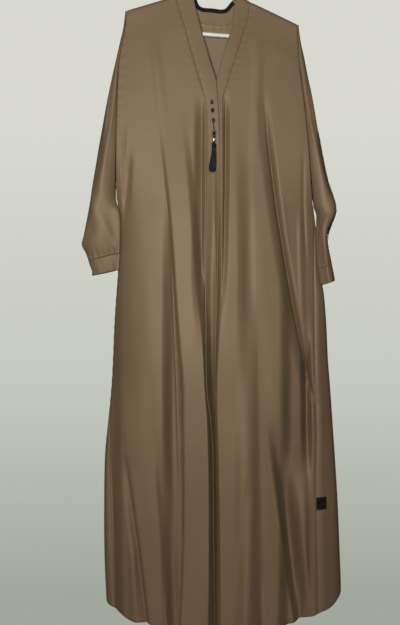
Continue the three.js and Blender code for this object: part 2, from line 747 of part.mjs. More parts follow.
// Head of the tassel with its strands fused to it, spread like seeds round the axis
function tasselSolid() {
  const headEnd = tassel.top - tassel.head;
  const golden = Math.PI * (3 - Math.sqrt(5));
  let solid = solidOf(turned(tassel.top, headEnd, tassel.headRadius));
  for (let k = 0; k < tassel.strands; k += 1) {
    const rank = Math.sqrt((k + 0.5) / tassel.strands);
    const angle = k * golden;
    const ragged = tassel.ragged * Math.abs(Math.sin(tassel.raggedStep * k)) * rank;
    const length = tassel.length - tassel.head - ragged + tassel.overlap;
    const path = shares(3).map((q) => {
      const spread = rank * lerp(tassel.rootSpread, tassel.endSpread, ease(q * tassel.bendShare));
      return new THREE.Vector3(
        tasselX + Math.cos(angle) * spread + tassel.drift * q * q,
        tasselY + Math.sin(angle) * spread * tassel.flatness,
        headEnd + tassel.overlap - q * length,
      );
    });
    solid = solid.add(solidOf(tube(path, tassel.strandRadius, 3)));
  }
  return geometryFrom(solid);
}

// Places in the hanger's own frame, with its apex at zero, turned by its tilt
const apexRise = bendRadius / Math.cos(armSlope);
const apex = new THREE.Vector3(
  -apexRise * Math.sin(hangerTilt), 0, clothTop - apexRise * Math.cos(hangerTilt),
);
function hangerPlace(x, z) {
  const [c, s] = [Math.cos(hangerTilt), Math.sin(hangerTilt)];
  return new THREE.Vector3(apex.x + x * c + z * s, 0, apex.z - x * s + z * c);
}
const curlX = hangerHalfWidth - curlRadius;
const curlZ = -curlX * Math.tan(armSlope) - curlRadius / Math.cos(armSlope);

// One arm with the curl at its end that turns back to the bar
function hangerArm(sign) {
  const path = [armStart, curlX / 2, curlX - 14].map((x) => hangerPlace(sign * x, -x * Math.tan(armSlope)));
  for (const q of shares(10)) {
    const angle = lerp(Math.PI / 2 - armSlope, -Math.PI / 2, q);
    const x = curlX + curlRadius * Math.cos(angle);
    path.push(hangerPlace(sign * x, curlZ + curlRadius * Math.sin(angle)));
  }
  path.push(hangerPlace(sign * (curlX - barStart), curlZ - curlRadius));
  return tube(path, armRadius, tubeSides);
}

function hangerBar() {
  const reach = curlX - barStart - seamGap;
  return tube([-1, 1].map((s) => hangerPlace(s * reach, curlZ - curlRadius)), armRadius, tubeSides);
}

function hangerHook() {
  const radius = hookInside + hookWire;
  const path = shares(16).map((q) => {
    const angle = THREE.MathUtils.degToRad(lerp(hookAngles.tip, hookAngles.bend, q));
    return new THREE.Vector3(radius * Math.cos(angle), 0, -hookInside + radius * Math.sin(angle));
  });
  const stem = [...hookStem, [apex.x, apex.z - armRadius]];
  stem.forEach(([x, z]) => path.push(new THREE.Vector3(x, 0, z)));
  return tube(path, hookWire, tubeSides);
}

const abaya = new THREE.Group();

function piece(name, geometry, finish) {
  const mesh = new THREE.Mesh(geometry, new THREE.MeshStandardMaterial(finishes[finish]));
  mesh.name = name;
  abaya.add(mesh);
}

for (const side of ['right', 'left']) {
  const [panel, edging] = [frontPanel(side), frontBand(side)];
  lengths.forEach((rows, i) => {
    piece(`front_${side}_${i + 1}`, wall(panel, shares(columnCount.front), rows, clothWall), 'cloth');
    piece(`band_${side}_${i + 1}`, wall(edging, shares(columnCount.band), rows, bandWall), 'cloth');
  });
  piece(`sleeve_${side}_1`, sleeve(side, 'upper'), 'cloth');
  piece(`sleeve_${side}_2`, sleeve(side, 'lower'), 'cloth');
  piece(`cuff_${side}`, cuff(side), 'cloth');
}
const { shoulders, neck } = backPieces();
piece('back_1', geometryFrom(shoulders), 'cloth');
lengths.slice(1).forEach((rows, i) => {
  piece(`back_${i + 2}`, wall(backPanel, shares(columnCount.back), rows, clothWall), 'cloth');
});
piece('band_neck', geometryFrom(neck), 'cloth');
piece('neck_tape', wall(neckTape, shares(columnCount.tape), shares(1), trimWall), 'trim');
piece('side_label', wall(sideLabel, shares(columnCount.label), shares(2), trimWall), 'trim');
beads.forEach((row) => piece(row.name, bead(row), 'bead'));
piece('tassel_cord', tasselCord(), 'thread');
tasselTrims.forEach((row) => piece(row.name, turned(row.top, row.bottom, row.radius), row.finish));
piece('tassel', tasselSolid(), 'thread');
piece('hanger_arm_right', hangerArm(-1), 'plastic');
piece('hanger_arm_left', hangerArm(1), 'plastic');
piece('hanger_bar', hangerBar(), 'plastic');
piece('hanger_hook', hangerHook(), 'plastic');

export default abaya;
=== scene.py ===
import math
import bmesh
import bpy
import numpy as np
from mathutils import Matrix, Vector


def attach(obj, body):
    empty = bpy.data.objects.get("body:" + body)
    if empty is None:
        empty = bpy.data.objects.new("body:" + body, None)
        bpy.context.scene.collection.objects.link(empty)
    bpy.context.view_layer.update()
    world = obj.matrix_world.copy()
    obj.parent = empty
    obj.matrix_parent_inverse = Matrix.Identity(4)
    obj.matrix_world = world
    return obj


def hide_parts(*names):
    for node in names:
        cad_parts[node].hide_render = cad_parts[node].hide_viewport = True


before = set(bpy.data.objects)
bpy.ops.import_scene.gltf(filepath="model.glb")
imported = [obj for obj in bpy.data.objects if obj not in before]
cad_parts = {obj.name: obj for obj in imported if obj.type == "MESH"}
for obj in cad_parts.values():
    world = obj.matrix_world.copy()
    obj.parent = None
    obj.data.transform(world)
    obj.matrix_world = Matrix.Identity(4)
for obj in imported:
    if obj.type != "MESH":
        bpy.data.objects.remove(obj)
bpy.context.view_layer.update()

# An abaya on a tube hanger. Lengths in this script are millimetres and angles are radians
# unless a name says otherwise; quadMesh turns millimetres into the scene's metres
metre = 0.001


# Small helpers

def table(columns, rows):
    # rows of numbers become one array for each named column
    return dict(zip(columns, np.array(rows, float).T))


def rowsOf(columns):
    # one dictionary for each row of a table
    return [dict(zip(columns, values)) for values in zip(*columns.values())]


def mix(a, b, q):
    return a + (b - a) * q


def ease(q):
    # smooth step: three q squared less two q cubed, held between 0 and 1
    q = np.clip(q, 0, 1)
    return q * q * (3 - 2 * q)


def track(rows, column):
    # cubic through the rows; its slope at a row is the mean slope to the rows on either side
    heights, values = rows["z"], rows[column]
    last = len(values) - 1
    order = np.arange(last + 1)
    before, after = np.maximum(order - 1, 0), np.minimum(order + 1, last)
    slopes = (values[after] - values[before]) / (heights[after] - heights[before])

    def at(z):
        i = np.clip(np.searchsorted(-heights, -np.asarray(z, float), side="right") - 1, 0, last - 1)
        span = heights[i + 1] - heights[i]
        q = np.clip((z - heights[i]) / span, 0, 1)
        pull = q * (1 - q) ** 2 * slopes[i] + q * q * (q - 1) * slopes[i + 1]
        return values[i] + ease(q) * (values[i + 1] - values[i]) + pull * span
    return at


def tracks(rows, *columns):
    return {column: track(rows, column) for column in columns}


def bell(distance, reach):
    return np.exp(-(distance / reach) ** 2)


def unit(v):
    return v / np.maximum(np.linalg.norm(v, axis=-1, keepdims=True), 1e-9)


def point(x, y, z):
    return np.stack(np.broadcast_arrays(x, y, z), axis=-1).astype(float)


# Camera and stage, seen square on as in the photograph

view = {
    "middleX": -32.2, "middleZ": -815.3,  # what the middle of the picture looks at
    "frameHeight": 1437.5,                # height that the picture takes in at the garment
    "lens": 55.0, "sensor": 36.0,
    "floorZ": -1900.0, "floorRadius": 1020.0, "floorRim": 30.0,
}

camera = bpy.data.cameras.new("photoCamera")
camera.lens, camera.sensor_width, camera.sensor_fit = view["lens"], view["sensor"], "VERTICAL"
camera.sensor_height = view["sensor"]
camera.clip_end = 60
cameraObject = bpy.data.objects.new("photoCamera", camera)
distance = view["frameHeight"] * view["lens"] / view["sensor"]
cameraObject.location = (view["middleX"] * metre, -distance * metre, view["middleZ"] * metre)
cameraObject.rotation_euler = (math.pi / 2, 0, 0)
bpy.context.scene.collection.objects.link(cameraObject)
bpy.context.scene.camera = cameraObject
print("camera", round(distance), "mm before the garment")


# Materials: every one reads object coordinates or the piece's own UV map, in metres

def addNode(tree, kind, inputs=None, **settings):
    # a shader node and its settings; each input is given a value or another node's socket
    node = tree.nodes.new("ShaderNode" + kind)
    for name, value in settings.items():
        setattr(node, name, value)
    for name, value in (inputs or {}).items():
        if isinstance(value, bpy.types.NodeSocket):
            tree.links.new(value, node.inputs[name])
        else:
            node.inputs[name].default_value = value
    return node


def newMaterial(name):
    material = bpy.data.materials.new(name)
    material.use_nodes = True
    material.node_tree.nodes.clear()
    return material, material.node_tree, addNode(material.node_tree, "TexCoord").outputs


def ramp(tree, factor, stops):
    node = addNode(tree, "ValToRGB", {"Fac": factor})
    elements = node.color_ramp.elements
    while len(elements) < len(stops):
        elements.new(0.5)
    for element, (place, colour) in zip(elements, stops):
        element.position, element.color = place, (*colour, 1)
    return node.outputs["Color"]


def tinted(colour, share):
    return [min(1.0, c * share) for c in colour]


def noise(tree, vector, scale, detail, roughness=0.5):
    inputs = {"Vector": vector, "Scale": scale, "Detail": detail, "Roughness": roughness}
    return addNode(tree, "TexNoise", inputs).outputs["Fac"]


def wave(tree, vector, direction, scale, **inputs):
    inputs = {"Vector": vector, "Scale": scale, **inputs}
    return addNode(tree, "TexWave", inputs, bands_direction=direction).outputs["Fac"]


def fitted(tree, value, low, high):
    # nought to one becomes low to high
    return addNode(tree, "MapRange", {"Value": value, "To Min": low, "To Max": high}).outputs["Result"]


def bump(tree, height, strength, distance, **under):
    inputs = {"Height": height, "Strength": strength, "Distance": distance, **under}
    return addNode(tree, "Bump", inputs).outputs["Normal"]


def surface(tree, **inputs):
    # the shader and its output; an underscore here is a space in the socket's own name
    inputs = {name.replace("_", " "): value for name, value in inputs.items()}
    addNode(tree, "OutputMaterial", {"Surface": addNode(tree, "BsdfPrincipled", inputs).outputs["BSDF"]})


clothLook = {
    "light": (0.205, 0.136, 0.078), "dark": (0.180, 0.119, 0.068), "patchScale": 5.0,
    "grainScale": 900.0, "fleck": (0.62, 0.60, 0.58), "fleckShare": 0.22, "threadPitch": 0.00085,
    "roughest": 0.61, "smoothest": 0.49, "weaveDepth": 0.00004, "crepeDepth": 0.00010,
    "shineTint": (1.0, 0.83, 0.62, 1), "sheenTint": (0.66, 0.70, 0.46, 1),
}


def clothMaterial(name, weaveTurn=0.0):
    # satin crepe: a fine twill in the piece's UV map, a pebbled crepe over it, and slow patches of tone
    material, tree, place = newMaterial(name)
    look = clothLook
    patch = noise(tree, place["Object"], look["patchScale"], 3.0, 0.55)
    tone = ramp(tree, patch, [(0.36, look["dark"]), (0.64, look["light"])])
    turned = addNode(tree, "Mapping", {"Vector": place["UV"], "Rotation": (0, 0, weaveTurn)})
    turned = turned.outputs["Vector"]
    thread = wave(tree, turned, "DIAGONAL", 1 / look["threadPitch"] / 20,
                  **{"Distortion": 0.6, "Detail": 2.0, "Detail Scale": 3.0})
    grain = noise(tree, turned, look["grainScale"], 2.0, 0.6)
    fleck = ramp(tree, grain, [(0.25, look["fleck"]), (0.75, (1.0, 1.0, 1.0))])
    speck = addNode(tree, "Mix", {"Factor": look["fleckShare"], "A": tone, "B": fleck},
                    data_type="RGBA", blend_type="MULTIPLY")
    weave = bump(tree, thread, 0.5, look["weaveDepth"])
    surface(tree, Base_Color=speck.outputs["Result"],
            Roughness=fitted(tree, grain, look["smoothest"], look["roughest"]),
            Specular_IOR_Level=0.62, Specular_Tint=look["shineTint"],
            Normal=bump(tree, grain, 0.6, look["crepeDepth"], Normal=weave),
            Sheen_Weight=0.10, Sheen_Roughness=0.35, Sheen_Tint=look["sheenTint"])
    return material


# the near-black tape colour is the side label's own colour; on the strip inside the back neck the same colour
# is painted shade
trimLook = {
    "tape": (0.012, 0.009, 0.007), "ribPitch": 0.0011, "thread": (0.0040, 0.0052, 0.0072),
    "bead": (0.006, 0.0035, 0.0035), "silver": (0.74, 0.74, 0.73), "steel": (0.34, 0.35, 0.37),
    "plastic": (0.88, 0.865, 0.82),
}


def tapeMaterial(name, colour):
    # woven tape: ribs across the piece's UV map with a finer thread along them
    material, tree, place = newMaterial(name)
    rib = wave(tree, place["UV"], "X", 1 / trimLook["ribPitch"] / 20, Distortion=0.4, Detail=1.0)
    thread = wave(tree, place["UV"], "Y", 1 / trimLook["ribPitch"] / 13, Distortion=0.8, Detail=1.0)
    height = addNode(tree, "Math", {0: rib, 1: thread}, operation="MULTIPLY").outputs[0]
    surface(tree, Base_Color=ramp(tree, height, [(0.0, tinted(colour, 0.6)), (1.0, tinted(colour, 1.6))]),
            Normal=bump(tree, height, 0.6, 0.0003), Roughness=0.8, Sheen_Weight=0.05, Specular_IOR_Level=0.2)
    return material


def threadMaterial(name, colour, roughness):
    # silky floss: fine streaks along the strand from stretched noise on object coordinates
    material, tree, place = newMaterial(name)
    stretch = addNode(tree, "Mapping", {"Vector": place["Object"], "Scale": (2600, 2600, 160)})
    streak = noise(tree, stretch.outputs["Vector"], 1.0, 2.0)
    surface(tree, Base_Color=ramp(tree, streak, [(0.3, tinted(colour, 0.5)), (0.75, tinted(colour, 2.4))]),
            Normal=bump(tree, streak, 0.4, 0.0002), Roughness=roughness, Anisotropic=0.4,
            Specular_IOR_Level=0.3)
    return material


def hardMaterial(name, colour, roughness, metallic=0.0, coat=0.0, wearScale=700.0):
    # moulded or turned surface: faint flow marks and a roughness that varies a little over it
    material, tree, place = newMaterial(name)
    wear = noise(tree, place["Object"], wearScale, 3.0)
    slow = noise(tree, place["Object"], wearScale / 12, 2.0)
    surface(tree, Base_Color=ramp(tree, slow, [(0.3, tinted(colour, 0.9)), (0.7, tinted(colour, 1.05))]),
            Roughness=fitted(tree, slow, max(0.03, roughness - 0.08), roughness + 0.08),
            Normal=bump(tree, wear, 0.3, 0.00002), Metallic=metallic, Coat_Weight=coat, Coat_Roughness=0.12)
    return material


cloth = clothMaterial("satinCrepe")
bandCloth = clothMaterial("satinCrepeBand", weaveTurn=0.5)
# one woven tape material for the side label and for the strip inside the back neck, where its near-black is
# painted shade
tape = tapeMaterial("wovenTapeAndNeckShade", trimLook["tape"])
floss = threadMaterial("tasselFloss", trimLook["thread"], 0.48)
beadGlass = hardMaterial("darkBead", trimLook["bead"], 0.16, coat=0.6)
silver = hardMaterial("silverTrim", trimLook["silver"], 0.22, metallic=1.0)
steel = hardMaterial("steelTrim", trimLook["steel"], 0.28, metallic=1.0)
plastic = hardMaterial("hangerPlastic", trimLook["plastic"], 0.30, coat=0.3, wearScale=260.0)
print("materials made")


# Meshes

def link(name, mesh, material, nodes):
    piece = bpy.data.objects.new(name, mesh)
    bpy.context.scene.collection.objects.link(piece)
    mesh.materials.append(material)
    mesh.polygons.foreach_set("use_smooth", np.ones(len(mesh.polygons), bool))
    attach(piece, "root")
    if nodes:
        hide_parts(*nodes)
    return piece


def gridFaces(rows, columns, closedAcross=False, closedAlong=False, start=0):
    # quads between each row and column and the next, round to the first where closed
    j, i = np.meshgrid(np.arange(rows if closedAlong else rows - 1),
                       np.arange(columns if closedAcross else columns - 1), indexing="ij")
    nextJ, nextI = (j + 1) % rows, (i + 1) % columns
    quads = [j * columns + i, j * columns + nextI, nextJ * columns + nextI, nextJ * columns + i]
    return start + np.stack(quads, axis=-1).reshape(-1, 4)


def quadMesh(name, points, faces, uvs=None):
    mesh = bpy.data.meshes.new(name)
    mesh.vertices.add(len(points))
    mesh.vertices.foreach_set("co", (points * metre).astype(np.float32).ravel())
    mesh.loops.add(faces.size)
    mesh.loops.foreach_set("vertex_index", faces.astype(np.int32).ravel())
    mesh.polygons.add(len(faces))
    mesh.polygons.foreach_set("loop_start", np.arange(0, faces.size, 4, dtype=np.int32))
    if uvs is not None:
        layer = mesh.uv_layers.new(name="UVMap")
        layer.data.foreach_set("uv", (uvs[faces.ravel()] * metre).astype(np.float32).ravel())
    mesh.update(calc_edges=True)
    mesh.validate()
    return mesh


def gridUv(grid):
    # u is the mean distance across the grid so far, v the mean distance along it so far
    across = np.linalg.norm(np.diff(grid, axis=1), axis=-1).mean(axis=0)
    along = np.linalg.norm(np.diff(grid, axis=0), axis=-1).mean(axis=1)
    u = np.concatenate([[0], np.cumsum(across)])
    v = -np.concatenate([[0], np.cumsum(along)])
    return np.stack(np.meshgrid(u, v), axis=-1).reshape(-1, 2)


def fourLengths(node):
    # the solids that one long panel or band stands for, from the shoulder down
    return [f"{node}_{i}" for i in range(1, 5)]


def clothPiece(name, grid, nodes, thick=1.0, material=cloth, slot="cloth", closedAcross=False):
    # a shell on a grid of points, thickened evenly on both sides
    rows, columns = grid.shape[:2]
    faces = gridFaces(rows, columns, closedAcross)
    mesh = quadMesh(name, grid.reshape(-1, 3), faces, gridUv(grid))
    piece = link(name, mesh, material, nodes)
    shell = piece.modifiers.new("thickness", "SOLIDIFY")
    shell.thickness, shell.offset = thick * metre, 0
    shell.use_quality_normals = True
    return piece


# The hanger's slopes and the cloth's heights

hang = {
    "tilt": math.radians(4.5), "armSlope": math.radians(21.15), "armRadius": 4.75,
    "curlRadius": 21.5, "halfWidth": 186.0, "hookInside": 20.0, "hookWire": 3.75, "clear": 0.5,
    "sides": 28, "hookSides": 24, "collarSides": 32, "collarRows": 44, "collarSquash": 0.75,
}
heights = {
    "top": -62.0, "hem": -1543.0, "underarmShare": 0.315, "cuff": 38.0, "fall": 80.0,
    "wall": 1.5, "seamGap": 0.3,
    "liftRight": 16.0, "powerRight": 20, "liftLeft": 30.0, "powerLeft": 8,
    "liftMiddle": 55.0, "powerMiddle": 1.1,
}
section = {  # how the body's section is shaped, and the rounds in which a height is found
    "power": 2.2, "foldsPower": 8, "creasesFrom": 60.0, "rounds": 8,
}
halfGap = heights["seamGap"] / 2
bendRadius = hang["armRadius"] + hang["clear"] + heights["wall"] / 2

outline = table(["z", "right", "left"], [
    [-110, -200, 190], [-160, -203.5, 191], [-234, -216.5, 194], [-290, -219.5, 200],
    [-355, -222, 207.5], [-420, -223.5, 214], [-500, -224.5, 220.5], [-547, -224, 224.5],
    [-570, -220.5, 227], [-600, -216.5, 231.5], [-650, -215.5, 235.5], [-700, -219, 239.5],
    [-740, -221.5, 245], [-765, -223.5, 251], [-832, -228, 257], [-925, -232, 261.5],
    [-982, -235, 266], [-1062, -242.5, 271.5], [-1143, -250, 277], [-1250, -252, 283.5],
    [-1360, -251.5, 288], [-1450, -248, 291], [-1543, -242, 288],
])
depths = table(["z", "front", "back", "gapRight", "gapLeft", "round"], [
    [-90, 6, 6, 6, 6, 1], [-160, 9, 8, 8, 6.5, 1], [-235, 13, 11, 12, 11, 1],
    [-330, 18, 15, 17, 16, 1], [-430, 23, 19, 20, 20, 0.9], [-490, 26, 21, 15, 18, 0.75],
    [-530, 28, 23, 7, 11, 0.6], [-557, 29, 24, 0, 4.5, 0.5], [-576, 30, 25, 0, 0, 0.46],
    [-650, 33, 28, 0, 0, 0.42], [-752, 37, 32, 0, 0, 0.42], [-900, 43, 38, 0, 0, 0.42],
    [-1060, 48, 43, 0, 0, 0.42], [-1250, 54, 48, 0, 0, 0.42], [-1543, 60, 54, 0, 0, 0.42],
])
sideSeams = table(["z", "right", "left"], [
    [-570, -230, 230], [-600, -230, 231], [-650, -230, 229], [-752, -230, 227.7],
    [-982, -238, 229], [-1086, -238, 231.8], [-1200, -238, 229.5], [-1543, -222, 235],
])
bandEdges = table(["z", "rightSeam", "rightFree", "leftFree", "leftSeam"], [
    [-70, -95, -49, 53, 87], [-106, -84.3, -44.4, 48, 82], [-146, -71.8, -34.5, 43.2, 76.2],
    [-168, -64.9, -29.2, 39, 68.2], [-207, -55, -18, 27, 56.5], [-248, -43.5, -6.5, 15, 43.5],
    [-285, -32, 5, 4.6, 32.2], [-326, -21.5, 8.5, -8, 21], [-363, -17, 11.3, -12, 19.6],
    [-402, -16, 12.2, -12.5, 19.2], [-556, -16.5, 13, -12.5, 18.5], [-750, -22, 9, -18, 11],
    [-982, -20, 11, -16, 13], [-1062, -14, 17, -10, 19], [-1150, -10, 21, -6, 23],
    [-1543, -10, 21, -6, 23],
])
furrow = table(["z", "middle", "squeeze", "depth"], [
    [-330, 0, 1, 0], [-556, 0, 1, 4], [-750, -6, 0.95, 8], [-856, -5, 0.66, 12],
    [-982, -4, 0.42, 18], [-1062, 2, 0.38, 20], [-1250, 6, 0.38, 20], [-1543, 6, 0.38, 20],
])
furrowReach = {"inside": 22.0, "outside": 80.0}

# A share of a fold's width is flat. On each side a cusp of 1 makes its line sharp, and -1 its foot
foldColumns = ["from", "full", "end", "fade", "xFrom", "xEnd", "bow", "height", "lean", "toRight", "toLeft",
               "flat", "cuspRight", "cuspLeft"]
frontFolds = table(foldColumns, [
    # beside the opening, wearer's right, with a sharp foot
    [-330, -1050, -1543, 0, -108, -50, 28, 38, -10, 28, 40, 0.6, -0.7, -0.2],
    # broad and flat topped, wearer's right
    [-420, -1100, -1543, 0, -162, -158, -6, 28, 3, 70, 72, 0.6, -0.2, -0.4],
    # beside the opening, wearer's left
    [-330, -1050, -1543, 0, 22, 58, 6, 31, -10, 33, 52, 0.33, -0.7, 0],
    # middle, wearer's left
    [-450, -1100, -1543, 0, 118, 110, 6, 24, 0, 58, 56, 0.45, 0, 0],
    # long sharp valley to the side seam
    [-270, -620, -1060, 110, 112, 236, -17, -15, 0, 26, 13, 0, 0.8, 0.8],
    # hollow beside the side seam
    [-850, -960, -1190, 110, 211, 213, 0, -30, 0, 19, 11, 0, 0.4, 0],
    # low valley, steep on its right
    [-1040, -1250, -1543, 0, 132, 202, -2, -30, 0, 19, 32, 0, -0.8, 0],
    # low ridge
    [-1130, -1300, -1543, 0, 204, 200, 0, 13, 0, 26, 22, 0, 0, 0],
    # ridge along the left side seam
    [-760, -980, -1543, 0, 222, 226, 0, 7, 0, 16, 40, 0, 0, 0],
    # outer crease to the hem
    [-1080, -1300, -1543, 0, -212, -150, 2, -14, 0, 18, 10, 0, 0.8, 0.8],
    # inner crease to the hem
    [-1090, -1240, -1543, 0, -128, -92, 0, -11, 0, 14, 26, 0, -0.8, 0],
    # drag at the underarm
    [-430, -500, -620, 70, -193, -205, 0, -7, 0, 13, 15, 0, 0.5, 0.5],
])
backFolds = table(foldColumns, [
    # broad, right of the middle
    [-350, -1150, -1543, 0, -70, -98, 0, 30, 0, 60, 50, 0.2, 0, -0.3],
    # broad, left of the middle
    [-380, -1180, -1543, 0, 62, 78, 6, 26, 0, 50, 62, 0.3, -0.4, 0],
    # sharp drag to the right side
    [-300, -600, -1100, 150, -128, -205, 14, -16, 0, 16, 32, 0, 0.8, 0.6],
    # outer left
    [-420, -1200, -1543, 0, 150, 172, 0, 20, 0, 50, 50, 0.2, 0, -0.4],
    # outer right
    [-600, -1250, -1543, 0, -176, -170, 0, 16, 0, 40, 44, 0.1, 0, 0],
    # low valley in the middle
    [-1120, -1330, -1543, 0, -16, -8, 0, -18, 0, 30, 30, 0, 0.4, 0.6],
    # low crease
    [-1100, -1300, -1543, 0, 112, 126, 0, -12, 0, 20, 22, 0, 0.6, 0.4],
])

# Creases too fine for the solids, in the same columns
frontCreases = table(foldColumns, [
    [-300, -640, -1050, 110, 112, 235.5, -17, -13, 3, 7, 5, 0, 0.7, 0.7],  # line of the long valley
    [-1060, -1250, -1543, 0, 134, 203, -2, -6, 0, 14, 22, 0, -0.8, 0],  # steep side of the low valley
    [-480, -700, -1300, 200, -106, -74, 4, -5, -3, 9, 5, 0, 0.9, 0.9],  # foot of the fold by the opening
    [-296, -420, -960, 340, -27, -30, 0, -10.0, 0, 20, 9, 0, 0.2, 0.5],  # sunk beside the right band
    [-300, -400, -900, 340, 25, 27, 0, -9.0, 0, 6, 13, 0, 0.6, 0.2],  # sunk beside the left band
    [-170, -240, -420, 120, -146, -118, 4, 2.0, 0, 16, 22, 0, 0, 0],  # soft lines below the shoulders
    [-180, -260, -520, 160, 104, 96, -3, 1.6, 0, 20, 16, 0, 0, 0],
    [-560, -700, -1120, 260, 76, 74, 2, -1.4, 0, 14, 18, 0, 0.3, 0.3],  # soft valley beside the left lip
    [-1160, -1240, -1543, 0, 82, 62, 0, -3.0, 0, 6, 14, 0, 0.8, 0],  # fine edge at the left hem
    [-1100, -1240, -1543, 0, -236, -224, 2, -7.0, 0, 8, 9, 0, 0.7, 0.7],  # along the right side seam
    [-1300, -1380, -1543, 0, -186, -178, 0, 5.0, 0, 16, 12, 0, 0, 0],  # small pipe at the right hem
    [-1300, -1380, -1543, 0, -118, -112, 0, -4.0, 0, 8, 10, 0, 0.6, 0.6],
    [-1340, -1420, -1543, 0, 200, 192, 0, -5.0, 0, 9, 12, 0, 0.6, 0.6],  # ripples at the left hem
    [-1390, -1450, -1543, 0, 100, 108, 0, -4.0, 0, 12, 9, 0, 0.5, 0.5],
    [-430, -520, -760, 160, 205, 214, -4, -4.0, 0, 9, 8, 0, 0.7, 0.7],  # underarm drags
    [-360, -440, -700, 200, -206, -201, -3, -3.6, 0, 8, 9, 0, 0.7, 0.7],
    [-560, -640, -900, 180, 196, 206, -3, 2.6, 0, 10, 10, 0, 0, 0],
])
backCreases = table(foldColumns, [
    [-220, -330, -620, 200, -150, -120, 6, 2.2, 0, 18, 14, 0, 0, 0],  # soft lines below the shoulders
    [-240, -340, -560, 180, 126, 104, -4, 1.8, 0, 16, 20, 0, 0, 0],
    [-500, -640, -1100, 280, -36, -30, 3, -3.4, 0, 14, 9, 0, 0.7, 0.7],  # either side of the middle
    [-560, -700, -1200, 300, 24, 30, -3, -2.8, 0, 9, 15, 0, 0.5, 0.5],
    [-420, -520, -900, 260, 190, 214, 8, -6.0, 0, 18, 8, 0, 0.8, 0.8],  # drag to the left side
    [-1200, -1300, -1543, 0, -130, -124, 0, -6.0, 0, 12, 9, 0, 0.7, 0.7],  # at the hem
    [-1230, -1330, -1543, 0, 40, 44, 0, 4.0, 0, 10, 12, 0, 0, 0],
    [-1260, -1360, -1543, 0, 216, 208, 0, -6.0, 0, 10, 13, 0, 0.7, 0.4],
    [-1320, -1400, -1543, 0, -220, -210, 0, -5.0, 0, 9, 11, 0, 0.6, 0.6],
    [-900, -1060, -1543, 0, 240, 252, 0, -5.0, 0, 12, 9, 0, 0.6, 0.6],  # along the left wrap
    [-1000, -1150, -1543, 0, -236, -230, 0, -5.0, 0, 8, 8, 0, 0.6, 0.6],  # along the right wrap
])
fine = {
    "rippleHeight": 0.22, "rippleFrom": -420.0, "rippleFull": -1300.0,
    "rippleWaves": [(38.0, 0.9, 0.0024), (61.0, 2.6, -0.0016), (97.0, 4.4, 0.0011)],
    "rippleStart": 0.25, "slackHeight": 0.45, "slackAcross": 47.0, "slackDown": 140.0, "slackDrift": 90.0,
    "hemWave": 4.0, "hemWaves": 27.0, "hemDrift": 0.9, "hemDrifts": 5.0,
}

edge = tracks(outline, "right", "left")
depth = tracks(depths, "front", "back", "gapRight", "gapLeft", "round")
sideSeam = tracks(sideSeams, "right", "left")
band = tracks(bandEdges, "rightSeam", "rightFree", "leftFree", "leftSeam")
furrowAt = tracks(furrow, "middle", "squeeze", "depth")


def slopeAt(x):
    return hang["armSlope"] + np.where(x < 0, -hang["tilt"], hang["tilt"])


def shoulder(x):
    return heights["top"] - np.abs(x) * np.tan(slopeAt(x))


def hem(turn):
    # lowest in the middle, lifted almost evenly and by a high power of the way to the side
    side = np.sin(turn)
    lift = np.where(side < 0, heights["liftRight"] * np.abs(side) ** heights["powerRight"],
                    heights["liftLeft"] * np.abs(side) ** heights["powerLeft"])
    drift = fine["hemDrift"] * np.sin(side * fine["hemDrifts"])
    wave = fine["hemWave"] * np.sin(side * fine["hemWaves"] + drift) * side ** 2
    return heights["hem"] + heights["liftMiddle"] * np.abs(side) ** heights["powerMiddle"] + lift + wave


def foldMove(folds, x, z):
    # each fold is a squared cosine across its bowed line, growing and fading along it. A cusp
    # mixes in one less the sine, sharp on the line, and below nought the cosine, sharp at the foot
    out, sideways = np.zeros(np.shape(x)), np.zeros(np.shape(x))
    for row in rowsOf(folds):
        along = (row["from"] - z) / (row["from"] - row["end"])
        line = mix(row["xFrom"], row["xEnd"], along) + row["bow"] * 4 * along * (1 - along)
        across = np.abs(x - line) / np.where(x < line, row["toRight"], row["toLeft"])
        quarter = np.pi / 2 * np.clip((across - row["flat"]) / (1 - row["flat"]), 0, 1)
        cusp = np.where(x < line, row["cuspRight"], row["cuspLeft"])
        grown = ease((row["from"] - z) / (row["from"] - row["full"]))
        faded = ease((z - row["end"]) / row["fade"]) if row["fade"] else 1.0
        shape = (1 - np.abs(cusp)) * np.cos(quarter) ** 2
        shape = shape + np.maximum(cusp, 0) * (1 - np.sin(quarter)) + np.maximum(-cusp, 0) * np.cos(quarter)
        bump = shape * grown * faded * (along > 0)
        out, sideways = out + row["height"] * bump, sideways + row["lean"] * bump
    return out, sideways


def ripples(x, z, phase):
    # a few long sines across the cloth whose phase slips with height, and a slower slackness
    grown = ease((fine["rippleFrom"] - z) / (fine["rippleFrom"] - fine["rippleFull"]))
    waves = sum(np.sin(x * 2 * np.pi / length + start + phase + slip * z * 2 * np.pi)
                for length, start, slip in fine["rippleWaves"])
    drift = 0.8 * np.sin(x / fine["slackDrift"] + phase)
    slack = np.sin(x / fine["slackAcross"] + phase) * np.sin(z / fine["slackDown"] + drift)
    return fine["rippleHeight"] * waves * mix(fine["rippleStart"], 1, grown) + fine["slackHeight"] * slack


def widthAt(turn, z):
    right, left = edge["right"](z), edge["left"](z)
    return (right + left) / 2 + np.sin(turn) * (left - right) / 2


def turnAt(x, z):
    right, left = edge["right"](z), edge["left"](z)
    return np.arcsin(np.clip((2 * x - right - left) / (left - right), -1, 1))


